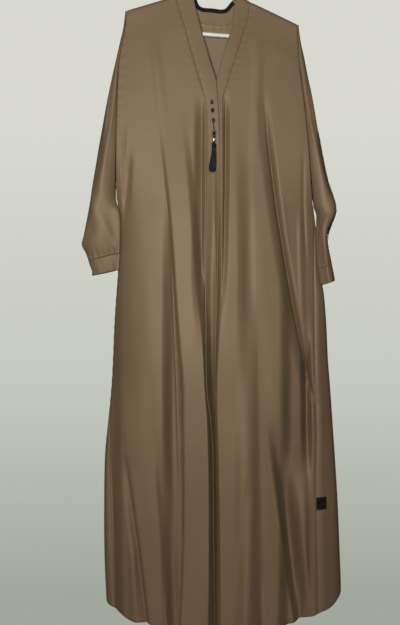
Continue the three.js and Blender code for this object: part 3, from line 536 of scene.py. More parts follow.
def bodyPoint(turn, z, detail=True):
    # round the body a rounded lens between two side lines; near the shoulder it bends over the arm
    turn, z = np.broadcast_arrays(np.asarray(turn, float), np.asarray(z, float))
    across, front = np.sin(turn), np.cos(turn) > 0
    x = widthAt(turn, z)
    gap = np.maximum(0, mix(depth["gapRight"](z), depth["gapLeft"](z), (across + 1) / 2))
    deep = np.where(front, depth["front"](z), depth["back"](z))
    belly = np.maximum(0, 1 - np.abs(across) ** section["power"]) ** depth["round"](z)
    hangOut = gap + (deep - gap) * belly
    drop = (shoulder(x) - z) * np.cos(slopeAt(x))
    overArm = bendRadius - np.clip(drop, 0, bendRadius)
    bend = np.sqrt(np.maximum(0, bendRadius ** 2 - overArm ** 2))
    out = halfGap + bend + (hangOut - bendRadius) * ease(drop / heights["fall"])
    frontOut, frontSide = foldMove(frontFolds, x, z)
    backOut, backSide = foldMove(backFolds, x, z)
    if detail:
        below = ease(drop / section["creasesFrom"])
        creaseOut, creaseSide = foldMove(frontCreases, x, z)
        frontOut, frontSide = frontOut + (creaseOut + ripples(x, z, 0.0)) * below, frontSide + creaseSide
        backOut = backOut + (foldMove(backCreases, x, z)[0] + ripples(x, z, 1.9)) * below
    nearSide = 1 - np.abs(across) ** section["foldsPower"]  # folds die out at the side lines
    out = out + np.where(front, frontOut, backOut) * nearSide
    sideways = np.where(front, frontSide, backSide) * nearSide
    fromMiddle = x - furrowAt["middle"](z)
    apart = np.abs(fromMiddle)
    reach = furrowReach["outside"] - furrowReach["inside"]
    pull = (1 - ease((apart - furrowReach["inside"]) / reach)) * front
    sink = 0.5 * (1 + np.cos(np.pi * np.minimum(1, apart / furrowReach["inside"]))) * front
    x = x - (1 - furrowAt["squeeze"](z)) * fromMiddle * pull
    out = out - furrowAt["depth"](z) * sink
    return point(x + sideways, np.where(front, -out, out), z)


def normalAt(turn, z):
    # across the body times up it points away from the body
    across = bodyPoint(turn + 1e-3, z) - bodyPoint(turn - 1e-3, z)
    up = bodyPoint(turn, z + 0.3) - bodyPoint(turn, z - 0.3)
    return unit(np.cross(across, up))


def liftedPoint(turn, z, lift):
    return bodyPoint(turn, z) + normalAt(turn, z) * np.asarray(lift)[..., None]


def armholeHeight(side, v):
    turn = -np.pi / 2 if side == "right" else np.pi / 2
    z = np.full(np.shape(v), heights["top"])
    for _ in range(section["rounds"]):
        z = mix(shoulder(edge[side](z)), hem(turn), v)
    return z


underarm = {side: float(armholeHeight(side, heights["underarmShare"])) for side in ("right", "left")}


def sideTurn(side, z, towards):
    # the seam's place, and the arc of half a gap beyond it
    quarter = -np.pi / 2 if side == "right" else np.pi / 2
    limit = np.maximum if side == "right" else np.minimum
    turn, step = turnAt(limit(sideSeam[side](z), edge[side](z)), z), 0.01
    moved = bodyPoint(turn + towards * step, z, False) - bodyPoint(turn, z, False)
    beyond = turn + towards * halfGap / (np.linalg.norm(moved, axis=-1) / step)
    return np.where(z > underarm[side] + 1, quarter + towards * 1e-4, beyond)


def settle(v, turnOf, topOf=shoulder):
    # find the height and turn of a share of the way from the top to the hem, in a few rounds
    z = mix(heights["top"], heights["hem"], v)
    for _ in range(section["rounds"]):
        turn = turnOf(z)
        z = mix(topOf(widthAt(turn, z)), hem(turn), v)
    return turn, z


def rowShares(count):
    # rows crowd over the bend at the shoulder, then run evenly to the hem
    bendShare = bendRadius / (heights["top"] - heights["hem"]) / math.cos(hang["armSlope"])
    bend = bendShare * (1 - np.cos(np.linspace(0, np.pi / 2, 7)))
    return np.concatenate([bend, np.linspace(bendShare, 1, count - 6)[1:]])


def alongRows(grid):
    # distance along each row of a grid from its first point, and what is left to its last
    along = np.cumsum(np.linalg.norm(np.diff(grid, axis=1, prepend=grid[:, :1]), axis=-1), axis=1)
    return along, along[:, -1:] - along


# Seams: how deep and how near the cloth rolls under, then its puckers' height, length and reach
seams = {
    "band": (0.7, 2.2, 0.45, 17.0, 14.0), "side": (0.5, 2.2, 0.35, 23.0, 14.0),
    "neck": (0.7, 2.2, 0.3, 17.0, 14.0), "bandEdge": (0.0, 1.0, 0.28, 19.0, 9.0),
    "sleeveEnd": (0.8, 2.0, 0.0, 17.0, 14.0), "cuffTop": (0.6, 1.4, 0.0, 17.0, 14.0),
    "cuffEnd": (0.5, 1.1, 0.0, 17.0, 14.0),
}


def sewn(seam, distance, along=0.0):
    # a bell of the distance from the seam, and short waves along it that die away from it
    deep, near, height, length, reach = seams[seam]
    waves = np.sin(2 * np.pi * along / length + 1.3 * np.sin(along / 61))
    return height * waves * bell(distance, reach) - deep * bell(distance, near)


hemFold = {
    "depth": 14.0, "inset": 1.5, "drop": 0.35,
    "stitchAbove": 14.0, "stitchSink": 0.35, "stitchWide": 1.2,
}


def foldedHem(grid, inward):
    # the last rows turn under: a row at the edge, then rows going back up inside the cloth
    length = np.linalg.norm(np.diff(grid, axis=0), axis=-1).mean(axis=1)[-1]
    back = max(2, int(round(hemFold["depth"] / length)))
    inside = grid[-2:-2 - back:-1] + inward[-2:-2 - back:-1] * hemFold["inset"]
    under = grid[-1:] + inward[-1:] * hemFold["inset"] * 0.5 - np.array([0, 0, hemFold["drop"]])
    return np.concatenate([grid, under, inside])


def panelGrid(turn, z, lift):
    # the body's surface moved out by the lift, sunk along the hem's stitching and folded under
    aboveHem = z - hem(turn)
    lift = lift - hemFold["stitchSink"] * bell(aboveHem - hemFold["stitchAbove"], hemFold["stitchWide"])
    normals = normalAt(turn, z)
    return foldedHem(bodyPoint(turn, z) + normals * lift[..., None], -normals)


def cross(grid):
    # outward direction at each point of a grid, from its neighbours
    across, along = np.gradient(grid, axis=1), np.gradient(grid, axis=0)
    return unit(np.cross(along, across))


# Body panels

panelDetail = {  # crowding gathers the columns towards the seams
    "rows": 250, "frontColumns": 118, "frontCrowding": 0.85, "backColumns": 172, "backCrowding": 0.55,
    "neckMiddle": -3.0, "neckHalf": 86.0, "farOff": 99.0,
}


def frontPanel(side):
    # shares across run from the side seam to the band seam; rows from the shoulder to the hem
    sign = 1 if side == "right" else -1
    u, v = np.meshgrid(np.linspace(0, 1, panelDetail["frontColumns"]), rowShares(panelDetail["rows"]))
    inward = u if side == "right" else 1 - u
    inward = mix(inward, ease(inward), panelDetail["frontCrowding"])

    def turnOf(z):
        outer = widthAt(sideTurn(side, z, sign), z)
        inner = band[side + "Seam"](z) - sign * halfGap / furrowAt["squeeze"](z)
        return turnAt(mix(outer, inner, inward), z)
    turn, z = settle(v, turnOf)
    toSide, toBand = alongRows(bodyPoint(turn, z))[::sign]
    return panelGrid(turn, z, sewn("band", toBand, z) + sewn("side", toSide, z + 9))


def backPanel():
    # round the back from one side seam to the other, up to the shoulders and the neck seam
    u, v = np.meshgrid(np.linspace(0, 1, panelDetail["backColumns"]), rowShares(panelDetail["rows"]))
    spread = mix(u, np.arccos(1 - 2 * u) / np.pi, panelDetail["backCrowding"])

    def turnOf(z):
        return mix(sideTurn("left", z, 1), sideTurn("right", z, -1) + 2 * np.pi, spread)
    turn, z = settle(v, turnOf, backTop)
    flat = bodyPoint(turn, z)
    x, toSide = flat[..., 0], np.minimum(*alongRows(flat))
    atNeck = np.abs(x - panelDetail["neckMiddle"]) < panelDetail["neckHalf"]
    toNeck = np.where(atNeck, backTop(x) - z, panelDetail["farOff"])
    return panelGrid(turn, z, sewn("side", toSide, z) + sewn("neck", toNeck, x))


# The neck across the back: the free top edge of its band and the seam below, wearer's right to left
backNeckTop = np.array([[-49, -76.6], [-41, -91], [-34, -107], [-26, -112], [-4, -114], [18, -116.5],
                        [26, -114.5], [38, -101], [51, -86.5]])
backNeckSeam = np.array([[-90, -88.8], [-70, -119], [-42, -144], [-10, -152], [25, -153.5], [56, -141],
                         [83, -101.9]])


def smoothLine(points, share):
    # Catmull-Rom through the points with steps of the square root of their distance: each point
    # and the next are mixed by their knots, then each of those mixes and the next, and once more
    ends = np.concatenate([[2 * points[0] - points[1]], points, [2 * points[-1] - points[-2]]])
    knots = np.concatenate([[0], np.cumsum(np.linalg.norm(np.diff(ends, axis=0), axis=1) ** 0.5)])
    place = np.asarray(share) * (len(points) - 1)
    i = np.clip(place.astype(int), 0, len(points) - 2)
    t = mix(knots[i + 1], knots[i + 2], place - i)[..., None]

    def between(first, second, low, high):
        low, high = knots[i + low][..., None], knots[i + high][..., None]
        return (high - t) / (high - low) * first + (t - low) / (high - low) * second
    mixes = [ends[i + k] for k in range(4)]
    for apart in (1, 2):
        mixes = [between(mixes[k], mixes[k + 1], k, k + apart) for k in range(4 - apart)]
    return between(*mixes, 1, 2)


neckSeamLine = smoothLine(backNeckSeam, np.linspace(0, 1, 400))


def backTop(x):
    # the shoulder line outside the neck, and just below the neck seam inside it
    seam = np.interp(x, neckSeamLine[:, 0], neckSeamLine[:, 1]) - heights["seamGap"]
    inside = (x > backNeckSeam[0, 0]) & (x < backNeckSeam[-1, 0])
    return np.where(inside, np.minimum(shoulder(x), seam), shoulder(x))


def backPoint(x, z, lift):
    return liftedPoint(np.pi - turnAt(x, z), z, lift)


frontRight = clothPiece("frontRight", frontPanel("right"), fourLengths("front_right"))
frontLeft = clothPiece("frontLeft", frontPanel("left"), fourLengths("front_left"))
back = clothPiece("backPanel", backPanel(), fourLengths("back"))
print("body panels made")


# Bands: doubled cloth with rolled edges

bandDetail = {
    "columns": 30, "rows": 320, "neckColumns": 150, "thick": 1.5, "lift": 0.4, "plump": 0.35,
    "edgeRoll": 0.55, "seamRoll": 1.2, "freeRoll": 1.0, "stitchIn": 4.0, "stitchSink": 0.3, "stitchWide": 0.9,
    "underFrom": -200.0, "underOver": 70.0, "underDepth": 2.1,  # where the left one passes under
}


def bandProfile(toSeam, toFree, z):
    # pressed flat but plumper in the middle, sunk along the stitching and rolled under at both edges
    across = np.clip(toSeam / np.maximum(toSeam + toFree, 1), 0, 1)
    plump = bandDetail["plump"] * np.sin(np.pi * across) ** 0.5
    stitched = bandDetail["stitchSink"] * bell(toSeam - bandDetail["stitchIn"], bandDetail["stitchWide"])
    rolled = bell(toSeam, bandDetail["seamRoll"]) + bell(toFree, bandDetail["freeRoll"])
    return plump - stitched - bandDetail["edgeRoll"] * rolled + sewn("bandEdge", toSeam, z + 5)


def frontBand(side):
    # from the sewn edge to the free edge; the wearer's left band lies under the right one
    sign = 1 if side == "right" else -1
    u, v = np.meshgrid(np.linspace(0, 1, bandDetail["columns"]), rowShares(bandDetail["rows"]))

    def turnOf(z):
        edgeX = band[side + "Seam"](z) + sign * halfGap / furrowAt["squeeze"](z)
        return turnAt(mix(edgeX, band[side + "Free"](z), u if side == "right" else 1 - u), z)
    turn, z = settle(v, turnOf)
    under = bandDetail["underDepth"] * ease((bandDetail["underFrom"] - z) / bandDetail["underOver"])
    lift = bandDetail["lift"] if side == "right" else -under - (1 - furrowAt["squeeze"](z))
    toSeam, toFree = alongRows(bodyPoint(turn, z))[::sign]
    return liftedPoint(turn, z, lift + bandProfile(toSeam, toFree, z))


def neckLines(u):
    # the free edge and the seam at a share of the way round the back of the neck, and their distance
    top, seam = smoothLine(backNeckTop, u), smoothLine(backNeckSeam, u)
    return top, seam, np.linalg.norm(top - seam, axis=-1)


def neckBand():
    # round the back of the neck, from the free edge down to the seam
    u, v = np.meshgrid(np.linspace(1, 0, bandDetail["neckColumns"]), np.linspace(0, 1, bandDetail["columns"]))
    top, seam, width = neckLines(u)
    place = mix(top, seam, v[..., None])
    z = np.minimum(place[..., 1], shoulder(place[..., 0]))
    return backPoint(place[..., 0], z, bandProfile((1 - v) * width, v * width, 60 * u))


# the strip inside the back neck is painted shade: a near-black strip where the back neck band folds over in
# shadow
neckShadeStripLook = {
    "width": 9.0, "thick": 0.9, "from": 0.91, "to": 0.08, "down": 0.02, "clear": 0.3,
    "columns": 120, "rows": 12, "plump": 0.25, "rippleHeight": 0.12, "ripples": 24,
}


def neckShadeStrip():
    # a near-black strip inside the back neck, just below the free edge, with its edges pressed in; it is
    # painted shade where the back neck band folds over
    look = neckShadeStripLook
    u, v = np.meshgrid(np.linspace(look["from"], look["to"], look["columns"]),
                       np.linspace(0, 1, look["rows"]))
    top, seam, width = neckLines(u)
    place = mix(top, seam, (look["down"] + v * look["width"] / width)[..., None])
    inside = -(bandDetail["thick"] + look["thick"]) / 2 - look["clear"]
    ripple = look["rippleHeight"] * np.sin(2 * np.pi * u * look["ripples"]) * np.abs(2 * v - 1)
    lift = inside + (-look["plump"] * np.sin(np.pi * v) + ripple)
    return backPoint(place[..., 0], place[..., 1], lift)


bandFinish = bandDetail["thick"], bandCloth
bandRight = clothPiece("bandRight", frontBand("right"), fourLengths("band_right"), *bandFinish)
bandLeft = clothPiece("bandLeft", frontBand("left"), fourLengths("band_left"), *bandFinish)
bandNeck = clothPiece("bandNeck", neckBand(), ["band_neck"], *bandFinish)
# near-black strip: painted shade inside the back neck
neckShadeStripPiece = clothPiece("neckShadeStrip", neckShadeStrip(), ["neck_tape"], neckShadeStripLook["thick"], tape, "tape")
print("bands made")


# Sleeves and cuffs

sleeveColumns = ["z", "outer", "inner", "depth", "fall"]
sleeves = {
    "right": table(sleeveColumns, [
        [-121, -203, -203, 6, 0], [-161, -208, -206, 9, 0], [-184, -213, -209, 10, 0],
        [-228, -222.6, -217, 13, 0], [-281, -234.6, -220, 18, 0], [-333, -245.6, -222, 21, 0],
        [-419, -261.3, -224, 24, 0], [-499, -274.4, -226, 25, 0], [-556, -283.6, -225.5, 24, 0],
        [-602, -291.9, -219.3, 22, -1], [-640, -299.9, -218.9, 21, -5], [-660, -304.1, -219.5, 19, -11],
        [-680, -294.5, -220.8, 15, -17], [-720, -279.5, -222.8, 12, -12],
    ]),
    "left": table(sleeveColumns, [
        [-154, 193.5, 193, 6, 0], [-200, 200, 194, 9, 0], [-230, 206.8, 196, 12, 0],
        [-283, 217, 201, 17, 0], [-333, 227.5, 207, 20, 0], [-379, 235.5, 211, 23, 0],
        [-419, 243.8, 215, 25, 0], [-465, 252, 219, 27, 0], [-517, 263, 223, 29, 0],
        [-547, 273, 226.5, 31, 0], [-570, 280, 229.2, 32, 0], [-589, 280.6, 236, 34, 0],
        [-607, 273.5, 236, 36, 0], [-630, 264.5, 236.6, 38, 0], [-648, 262, 237.9, 38, 1],
        [-683, 266, 240.8, 37, 5], [-714, 271.4, 243.6, 32, 9], [-752, 278.5, 250.4, 30, 10],
    ]),
}
cuffSeam = {"right": -680.0, "left": -714.0}

# Creases of the sleeves: a line in height and share of the way round, a slope, and a height
sleeveCreases = table(["z", "share", "slope", "reachZ", "reachShare", "height"], [
    [-350, 0.30, 0.0006, 90, 0.05, -2.4],
    [-470, 0.22, -0.0010, 110, 0.06, -3.0],
    [-585, 0.34, 0.0016, 60, 0.06, -3.4],
    [-630, 0.18, 0.0022, 46, 0.05, -2.6],
    [-655, 0.42, -0.0020, 34, 0.05, 2.4],
    [-420, 0.74, 0.0008, 120, 0.06, -2.8],
    [-540, 0.66, -0.0012, 80, 0.06, -3.2],
    [-640, 0.80, 0.0020, 50, 0.05, -2.6],
    [-665, 0.60, -0.0024, 30, 0.05, 2.2],
])
sleeveDetail = {"columns": 96, "rows": 200, "crowding": 1.25, "cuffColumns": 120, "cuffRows": 26}
sleeveFit = {
    "topShare": 0.0009, "clear": 0.48, "clearClosed": 1.8,  # space beside the body's edge
    "gathers": 17, "gatherHeight": 0.9, "gatherReach": 16.0,
}
# Below the underarm the inner side of a sleeve laps a little over the body's side
lap = {
    "right": {"from": -553.0, "full": -585.0, "inward": 5.0, "centre": 0.1, "width": 0.45, "forward": 13.0},
    "left": {"from": -600.0, "full": -634.0, "inward": 7.0, "centre": 0.45, "width": 0.3, "forward": 2.0},
}


def sleeveRows(side, share, z, closed):
    # a lens between inner and outer edge, left open by the armhole's gape above the underarm
    at = tracks(sleeves[side], "outer", "inner", "depth", "fall")
    away = -1 if side == "right" else 1
    fall, deep = at["fall"](z), at["depth"](z)
    outer = at["outer"](z + fall)
    armhole = -bodyPoint(away * np.pi / 2 - away * 1e-4, z, False)[..., 1]
    gape = np.where(z > underarm[side], np.clip(armhole, halfGap, deep), halfGap)
    half = np.arcsin(np.minimum(1, gape / deep))
    clear = sleeveFit["clear"] + sleeveFit["clearClosed"] * np.cos(half) ** 2
    inner = np.where(z > underarm[side], edge[side](z) + away * clear, at["inner"](z))
    radius = np.abs(outer - inner) / (1 + (1 if closed else np.cos(half)))
    middle = outer - away * radius
    angle = 2 * np.pi * share if closed else mix(half, 2 * np.pi - half, share)
    x = middle - away * radius * np.cos(angle)
    height = z + fall * (x - inner) / (outer - inner)
    # the lap is a bell round the section, and moves forward by the fourth power of its cosine
    over = lap[side]
    grown = ease((over["from"] - z) / (over["from"] - over["full"]))
    turned = np.where(angle > np.pi, angle - 2 * np.pi, angle)
    inward = over["inward"] * bell(turned - over["centre"], over["width"]) * grown
    forward = over["forward"] * np.maximum(0, np.cos(angle)) ** 4 * grown
    return point(x - away * inward, -deep * np.sin(angle) - forward, height)


def sleeveLift(share, z):
    # bells along slanted lines, over a slow unevenness
    lift = 0.35 * np.sin(z / 21 + 5 * share) * np.sin(2 * np.pi * share * 3)
    for row in rowsOf(sleeveCreases):
        line = row["share"] + row["slope"] * (z - row["z"])
        crease = bell(share - line, row["reachShare"]) * bell(z - row["z"], row["reachZ"])
        lift = lift + row["height"] * crease
    return lift


def sleeveGrid(side):
    # rows from the shoulder point down to the cuff seam, with gathers above the cuff
    top, bottom = armholeHeight(side, sleeveFit["topShare"]), cuffSeam[side]
    down = np.linspace(0, 1, sleeveDetail["rows"]) ** sleeveDetail["crowding"] * (bottom - top) + top
    share, z = np.meshgrid(np.linspace(0, 1, sleeveDetail["columns"]), down)
    flat = sleeveRows(side, share, z, False)
    toCuff = z - bottom
    quiet = ease(np.minimum(share, 1 - share) / 0.06) * ease((top - z) / 120)
    gathers = np.sin(2 * np.pi * share * sleeveFit["gathers"] + 2 * np.sin(9 * share))
    gathers = sleeveFit["gatherHeight"] * gathers * bell(toCuff, sleeveFit["gatherReach"])
    lift = (sleeveLift(share, z) + gathers) * quiet + sewn("sleeveEnd", toCuff)
    return flat + cross(flat) * (1 if side == "right" else -1) * lift[..., None]


cuffLook = {
    "plump": 0.5, "stitchIn": 5.0, "stitchSink": 0.3, "stitchWide": 0.8, "waves": 9, "waveHeight": 0.25,
}


def cuffGrid(side):
    # a doubled band that widens a touch at its lower edge, with its hem turned in
    columns = sleeveDetail["cuffColumns"]
    share, v = np.meshgrid(np.arange(columns) / columns, np.linspace(0, 1, sleeveDetail["cuffRows"]))
    down = v * heights["cuff"]
    toEnd = heights["cuff"] - down
    flat = sleeveRows(side, share, cuffSeam[side] - heights["seamGap"] - down, True)
    lift = cuffLook["plump"] * np.sin(np.pi * v) ** 0.5 + sewn("cuffTop", down) + sewn("cuffEnd", toEnd)
    lift = lift - cuffLook["stitchSink"] * bell(toEnd - cuffLook["stitchIn"], cuffLook["stitchWide"])
    lift = lift + cuffLook["waveHeight"] * np.sin(2 * np.pi * share * cuffLook["waves"] + 3 * v)
    outward = unit(np.cross(np.gradient(flat, axis=0), np.roll(flat, -1, 1) - np.roll(flat, 1, 1)))
    fromCentre = flat - flat.mean(axis=1, keepdims=True)
    facing = np.sign((outward * fromCentre).sum(axis=-1).mean())
    return flat + outward * facing * lift[..., None]


for side in ("right", "left"):
    sleeveNodes = [f"sleeve_{side}_1", f"sleeve_{side}_2"]
    clothPiece("sleeve" + side.title(), sleeveGrid(side), sleeveNodes)
    clothPiece("cuff" + side.title(), cuffGrid(side), ["cuff_" + side],
                                            *bandFinish, closedAcross=True)
print("sleeves and cuffs made")


# Label in the left side seam: a folded dark tape, left bare

labelLook = {
    "left": 229.8, "right": 253.0, "top": -1232.8, "bottom": -1260.2, "thick": 1.0,
    "clear": 0.3, "curl": 0.5, "wave": 0.15, "rows": 40,
}


def labelGrid():
    # lies just off the back panel and curls a little away from it at its free end
    share = np.linspace(0, 1, labelLook["rows"])
    u, v = np.meshgrid(share, share)
    z = mix(labelLook["top"], labelLook["bottom"], v)
    x = mix(labelLook["left"], labelLook["right"], u)
    lift = (heights["wall"] + labelLook["thick"]) / 2 + labelLook["clear"]
    lift = lift + labelLook["curl"] * u ** 2 + labelLook["wave"] * np.sin(9 * u + 4 * v)
    return liftedPoint(turnAt(x, z), z, lift)


label = clothPiece("sideLabel", labelGrid(), ["side_label"], labelLook["thick"], tape, "tape")


# Round solids: a profile turned about an upright axis, and tubes along a path

def weld(piece):
    # merge the doubled points at poles and ends, and turn the faces outward
    work = bmesh.new()
    work.from_mesh(piece.data)
    bmesh.ops.remove_doubles(work, verts=work.verts, dist=1e-6)
    bmesh.ops.dissolve_degenerate(work, dist=1e-7, edges=work.edges)
    bmesh.ops.recalc_face_normals(work, faces=work.faces)
    work.to_mesh(piece.data)
    work.free()
    piece.data.polygons.foreach_set("use_smooth", np.ones(len(piece.data.polygons), bool))
    piece.data.update()


def turnedGrid(profile, sides, squash=1.0):
    # profile rows are radius and height; each goes round a full turn
    radius, z = np.asarray(profile, float).T
    angle = np.linspace(0, 2 * np.pi, sides, endpoint=False)
    rings = point(radius[:, None] * np.cos(angle), radius[:, None] * np.sin(angle) * squash, z[:, None])
    return rings.reshape(-1, 3), gridFaces(len(radius), sides, closedAcross=True)


def poleToPole(radius, z):
    # a profile that starts and ends on the axis
    profile = np.stack([radius, z], axis=-1)
    profile[0, 0] = profile[-1, 0] = 0
    return profile


def turnedPiece(name, profile, centre, sides, material, nodes, squash=1.0):
    points, faces = turnedGrid(profile, sides, squash)
    weld(link(name, quadMesh(name, points + np.array(centre), faces), material, nodes))


def tubeGrid(path, radius, sides, closed=False):
    # rings square to the path, their first spoke kept as near as it goes to the depth direction
    along = unit(np.roll(path, -1, 0) - np.roll(path, 1, 0) if closed else np.gradient(path, axis=0))
    spoke = unit(np.array([0, 1.0, 0]) - along * along[:, 1:2])
    other = np.cross(along, spoke)
    angle = np.linspace(0, 2 * np.pi, sides, endpoint=False)[:, None]
    radius = np.broadcast_to(np.asarray(radius, float), (len(path),))
    ring = spoke[:, None] * np.cos(angle) + other[:, None] * np.sin(angle)
    return path[:, None] + radius[:, None, None] * ring


def tubePiece(name, path, radius, sides, nodes, closed=False):
    points = tubeGrid(path, radius, sides, closed).reshape(-1, 3)
    mesh = quadMesh(name, points, gridFaces(len(path), sides, True, closed))
    weld(link(name, mesh, plastic, nodes))


def roundEnds(path, radius, steps=6):
    # a quarter circle of shrinking radius at each end of a path
    angle = np.linspace(0, np.pi / 2, steps)
    first, last = unit(path[0] - path[1]), unit(path[-1] - path[-2])
    start = path[0] + first * radius * np.cos(angle)[:, None]
    end = path[-1] + last * radius * np.sin(angle)[:, None]
    radii = [radius * np.sin(angle), np.full(len(path) - 2, radius), radius * np.cos(angle)]
    return np.concatenate([start, path[1:-1], end]), np.concatenate(radii)


# Hanger: one white moulding, arms with curled ends joined by a bar, and its hook

apexRise = bendRadius / math.cos(hang["armSlope"])
apex = np.array([-apexRise * math.sin(hang["tilt"]), 0, heights["top"] - apexRise * math.cos(hang["tilt"])])


def hangerPlace(x, z):
    c, s = math.cos(hang["tilt"]), math.sin(hang["tilt"])
    return point(apex[0] + x * c + z * s, 0, apex[2] - x * s + z * c)


def hangerFrame():
    # up one arm and down the other, round a curl at each end, and back along the bar
    curlX = hang["halfWidth"] - hang["curlRadius"]
    slope = hang["armSlope"]
    curlZ = -curlX * math.tan(slope) - hang["curlRadius"] / math.cos(slope)
    angle = np.linspace(np.pi / 2 - slope, -np.pi / 2, 22)
    tangentX = curlX + hang["curlRadius"] * math.cos(angle[0])
    arm = np.linspace(3.0, tangentX, 30)[:-1]
    armZ = -arm * math.tan(slope)
    curl = curlX + hang["curlRadius"] * np.cos(angle), curlZ + hang["curlRadius"] * np.sin(angle)
    bar = np.linspace(curlX, -curlX, 40)[1:-1]
    x = np.concatenate([arm, curl[0], bar, -curl[0][::-1], -arm[::-1]])
    z = np.concatenate([armZ, curl[1], np.full(len(bar), curl[1][-1]), curl[1][::-1], armZ[::-1]])
    return hangerPlace(x, z)


def hangerHook():
    # most of a circle, then an easy bend into the stem
    radius = hang["hookInside"] + hang["hookWire"]
    angle = np.radians(np.linspace(200, -40, 17))
    circle = np.stack([radius * np.cos(angle), -hang["hookInside"] + radius * np.sin(angle)], axis=-1)
    stem = np.array([[8.2, -46.6], [2.2, -54], [-0.2, -61], [apex[0], apex[2]]])
    line = smoothLine(np.concatenate([circle, stem]), np.linspace(0, 1, 150))
    return point(line[:, 0], 0, line[:, 1])


tubePiece("hangerFrame", hangerFrame(), hang["armRadius"], hang["sides"],
          ["hanger_arm_right", "hanger_arm_left", "hanger_bar"], closed=True)
tubePiece("hangerHook", *roundEnds(hangerHook(), hang["hookWire"]), hang["hookSides"], ["hanger_hook"])
collarProfile = smoothLine(np.array([  # radius and height about the top of the arms
    [0, 9.5], [3.9, 9.3], [4.6, 8.2], [5.0, 6.0], [5.6, 3.4], [6.6, 1.2], [6.9, -0.6], [6.6, -2.6],
    [5.4, -4.4], [3.0, -5.2], [0, -5.4]]), np.linspace(0, 1, hang["collarRows"]))
turnedPiece("hangerCollar", collarProfile, apex, hang["collarSides"], plastic, [],
            squash=hang["collarSquash"])
print("hanger made")


# Beads and tassel on the wearer's right band

def bandFace(x, z):
    return float(liftedPoint(turnAt(x, z), z, bandDetail["lift"] + bandDetail["thick"] / 2)[..., 1])


beadRows = table(["x", "z"], [[-5.5, -335.8], [-3.7, -355], [-1.8, -377.8]])
beadSize = {"x": 3.7, "y": 3.2, "z": 4.8, "fuller": 0.05, "clear": 0.1, "rows": 30, "sides": 40}


def makeBead(index):
    # an egg: a sphere with its lower half a little fuller, flattened against the band
    x, z = beadRows["x"][index], beadRows["z"][index]
    pole = np.linspace(0, np.pi, beadSize["rows"])
    profile = np.stack([np.sin(pole) * (1 - beadSize["fuller"] * np.cos(pole)), np.cos(pole)], axis=-1)
    profile = profile * [beadSize["x"], beadSize["z"]]
    centre = [x, bandFace(x, z) - beadSize["y"] - beadSize["clear"], z]
    turnedPiece(f"bead{index + 1}", profile, centre, beadSize["sides"], beadGlass,
                [f"bead_{index + 1}"], squash=beadSize["y"] / beadSize["x"])


for index in range(len(beadRows["x"])):
    makeBead(index)

tasselLook = {
    "x": -0.8, "stand": 6.4, "top": -429.6, "head": 12.0, "headRadius": 5.2, "length": 69.0,
    "strands": 230, "root": 4.6, "spread": 8.4, "flat": 0.55, "drift": -4.0, "strandRadius": 0.32,
    "shortOuter": 9.0, "shortAny": 3.0, "steps": 12, "sides": 5, "headRows": 90, "headSides": 40,
    "ridges": 16, "ridgeHeight": 0.16, "binding": 0.16, "bindingAt": 0.62, "bindingWide": 0.09,
}
tasselY = bandFace(tasselLook["x"], tasselLook["top"] - tasselLook["length"]) - tasselLook["stand"]
tasselCentre = [tasselLook["x"], tasselY, 0]
tasselTrims = [  # piece, node, top, bottom, radius, material, slot
    ("tasselRingSilver", "tassel_ring_silver", -402.2, -406.2, 4.6, silver, "silver"),
    ("tasselRingBlack", "tassel_ring_black", -406.8, -411.4, 4.2, beadGlass, "bead"),
    ("tasselRingSteel", "tassel_ring_steel", -412.0, -416.0, 4.4, steel, "silver"),
    ("tasselFerrule", "tassel_ferrule", -416.6, -429.0, 3.1, silver, "silver"),
]
trimShape = {
    "rows": 34, "sides": 36, "roundness": 0.35, "grooves": (0.3, 0.7), "grooveDeep": 0.05, "grooveWide": 0.03,
}
for name, node, top, bottom, radius, material, slot in tasselTrims:
    # rounded rings with two fine grooves
    v = np.linspace(0, 1, trimShape["rows"])
    grooves = sum(bell(v - place, trimShape["grooveWide"]) for place in trimShape["grooves"])
    grooves = trimShape["grooveDeep"] * grooves
    barrel = radius * np.sin(np.pi * v) ** trimShape["roundness"] * (1 - grooves)
    profile = poleToPole(barrel, mix(top, bottom, v))
    turnedPiece(name, profile, tasselCentre, trimShape["sides"], material, [node])

cordLook = {"radius": 0.5, "wind": 0.42, "turns": 30.0, "steps": 60, "sides": 8, "tuck": 0.6}


def twistedCord():
    # two plies wound round the line from the lowest bead to the first ring
    q = np.linspace(0, 1, cordLook["steps"])
    start = beadRows["z"][-1] - beadSize["z"] + cordLook["tuck"]
    end = tasselTrims[0][2] - cordLook["tuck"]
    startY = bandFace(beadRows["x"][-1], start) - beadSize["y"]
    middle = point(mix(beadRows["x"][-1], tasselLook["x"], ease(q)), mix(startY, tasselY, ease(q)),
                   mix(start, end, q))
    wound = [q * cordLook["turns"] + ply for ply in (0, np.pi)]
    plies = [middle + cordLook["wind"] * point(np.cos(turn), np.sin(turn), 0) for turn in wound]
    points = [tubeGrid(ply, cordLook["radius"], cordLook["sides"]).reshape(-1, 3) for ply in plies]
    faces = [gridFaces(len(q), cordLook["sides"], True, start=len(points[0]) * k) for k in (0, 1)]
    return np.concatenate(points), np.concatenate(faces)


link("tasselCord", quadMesh("tasselCord", *twistedCord()), floss, ["tassel_cord"])


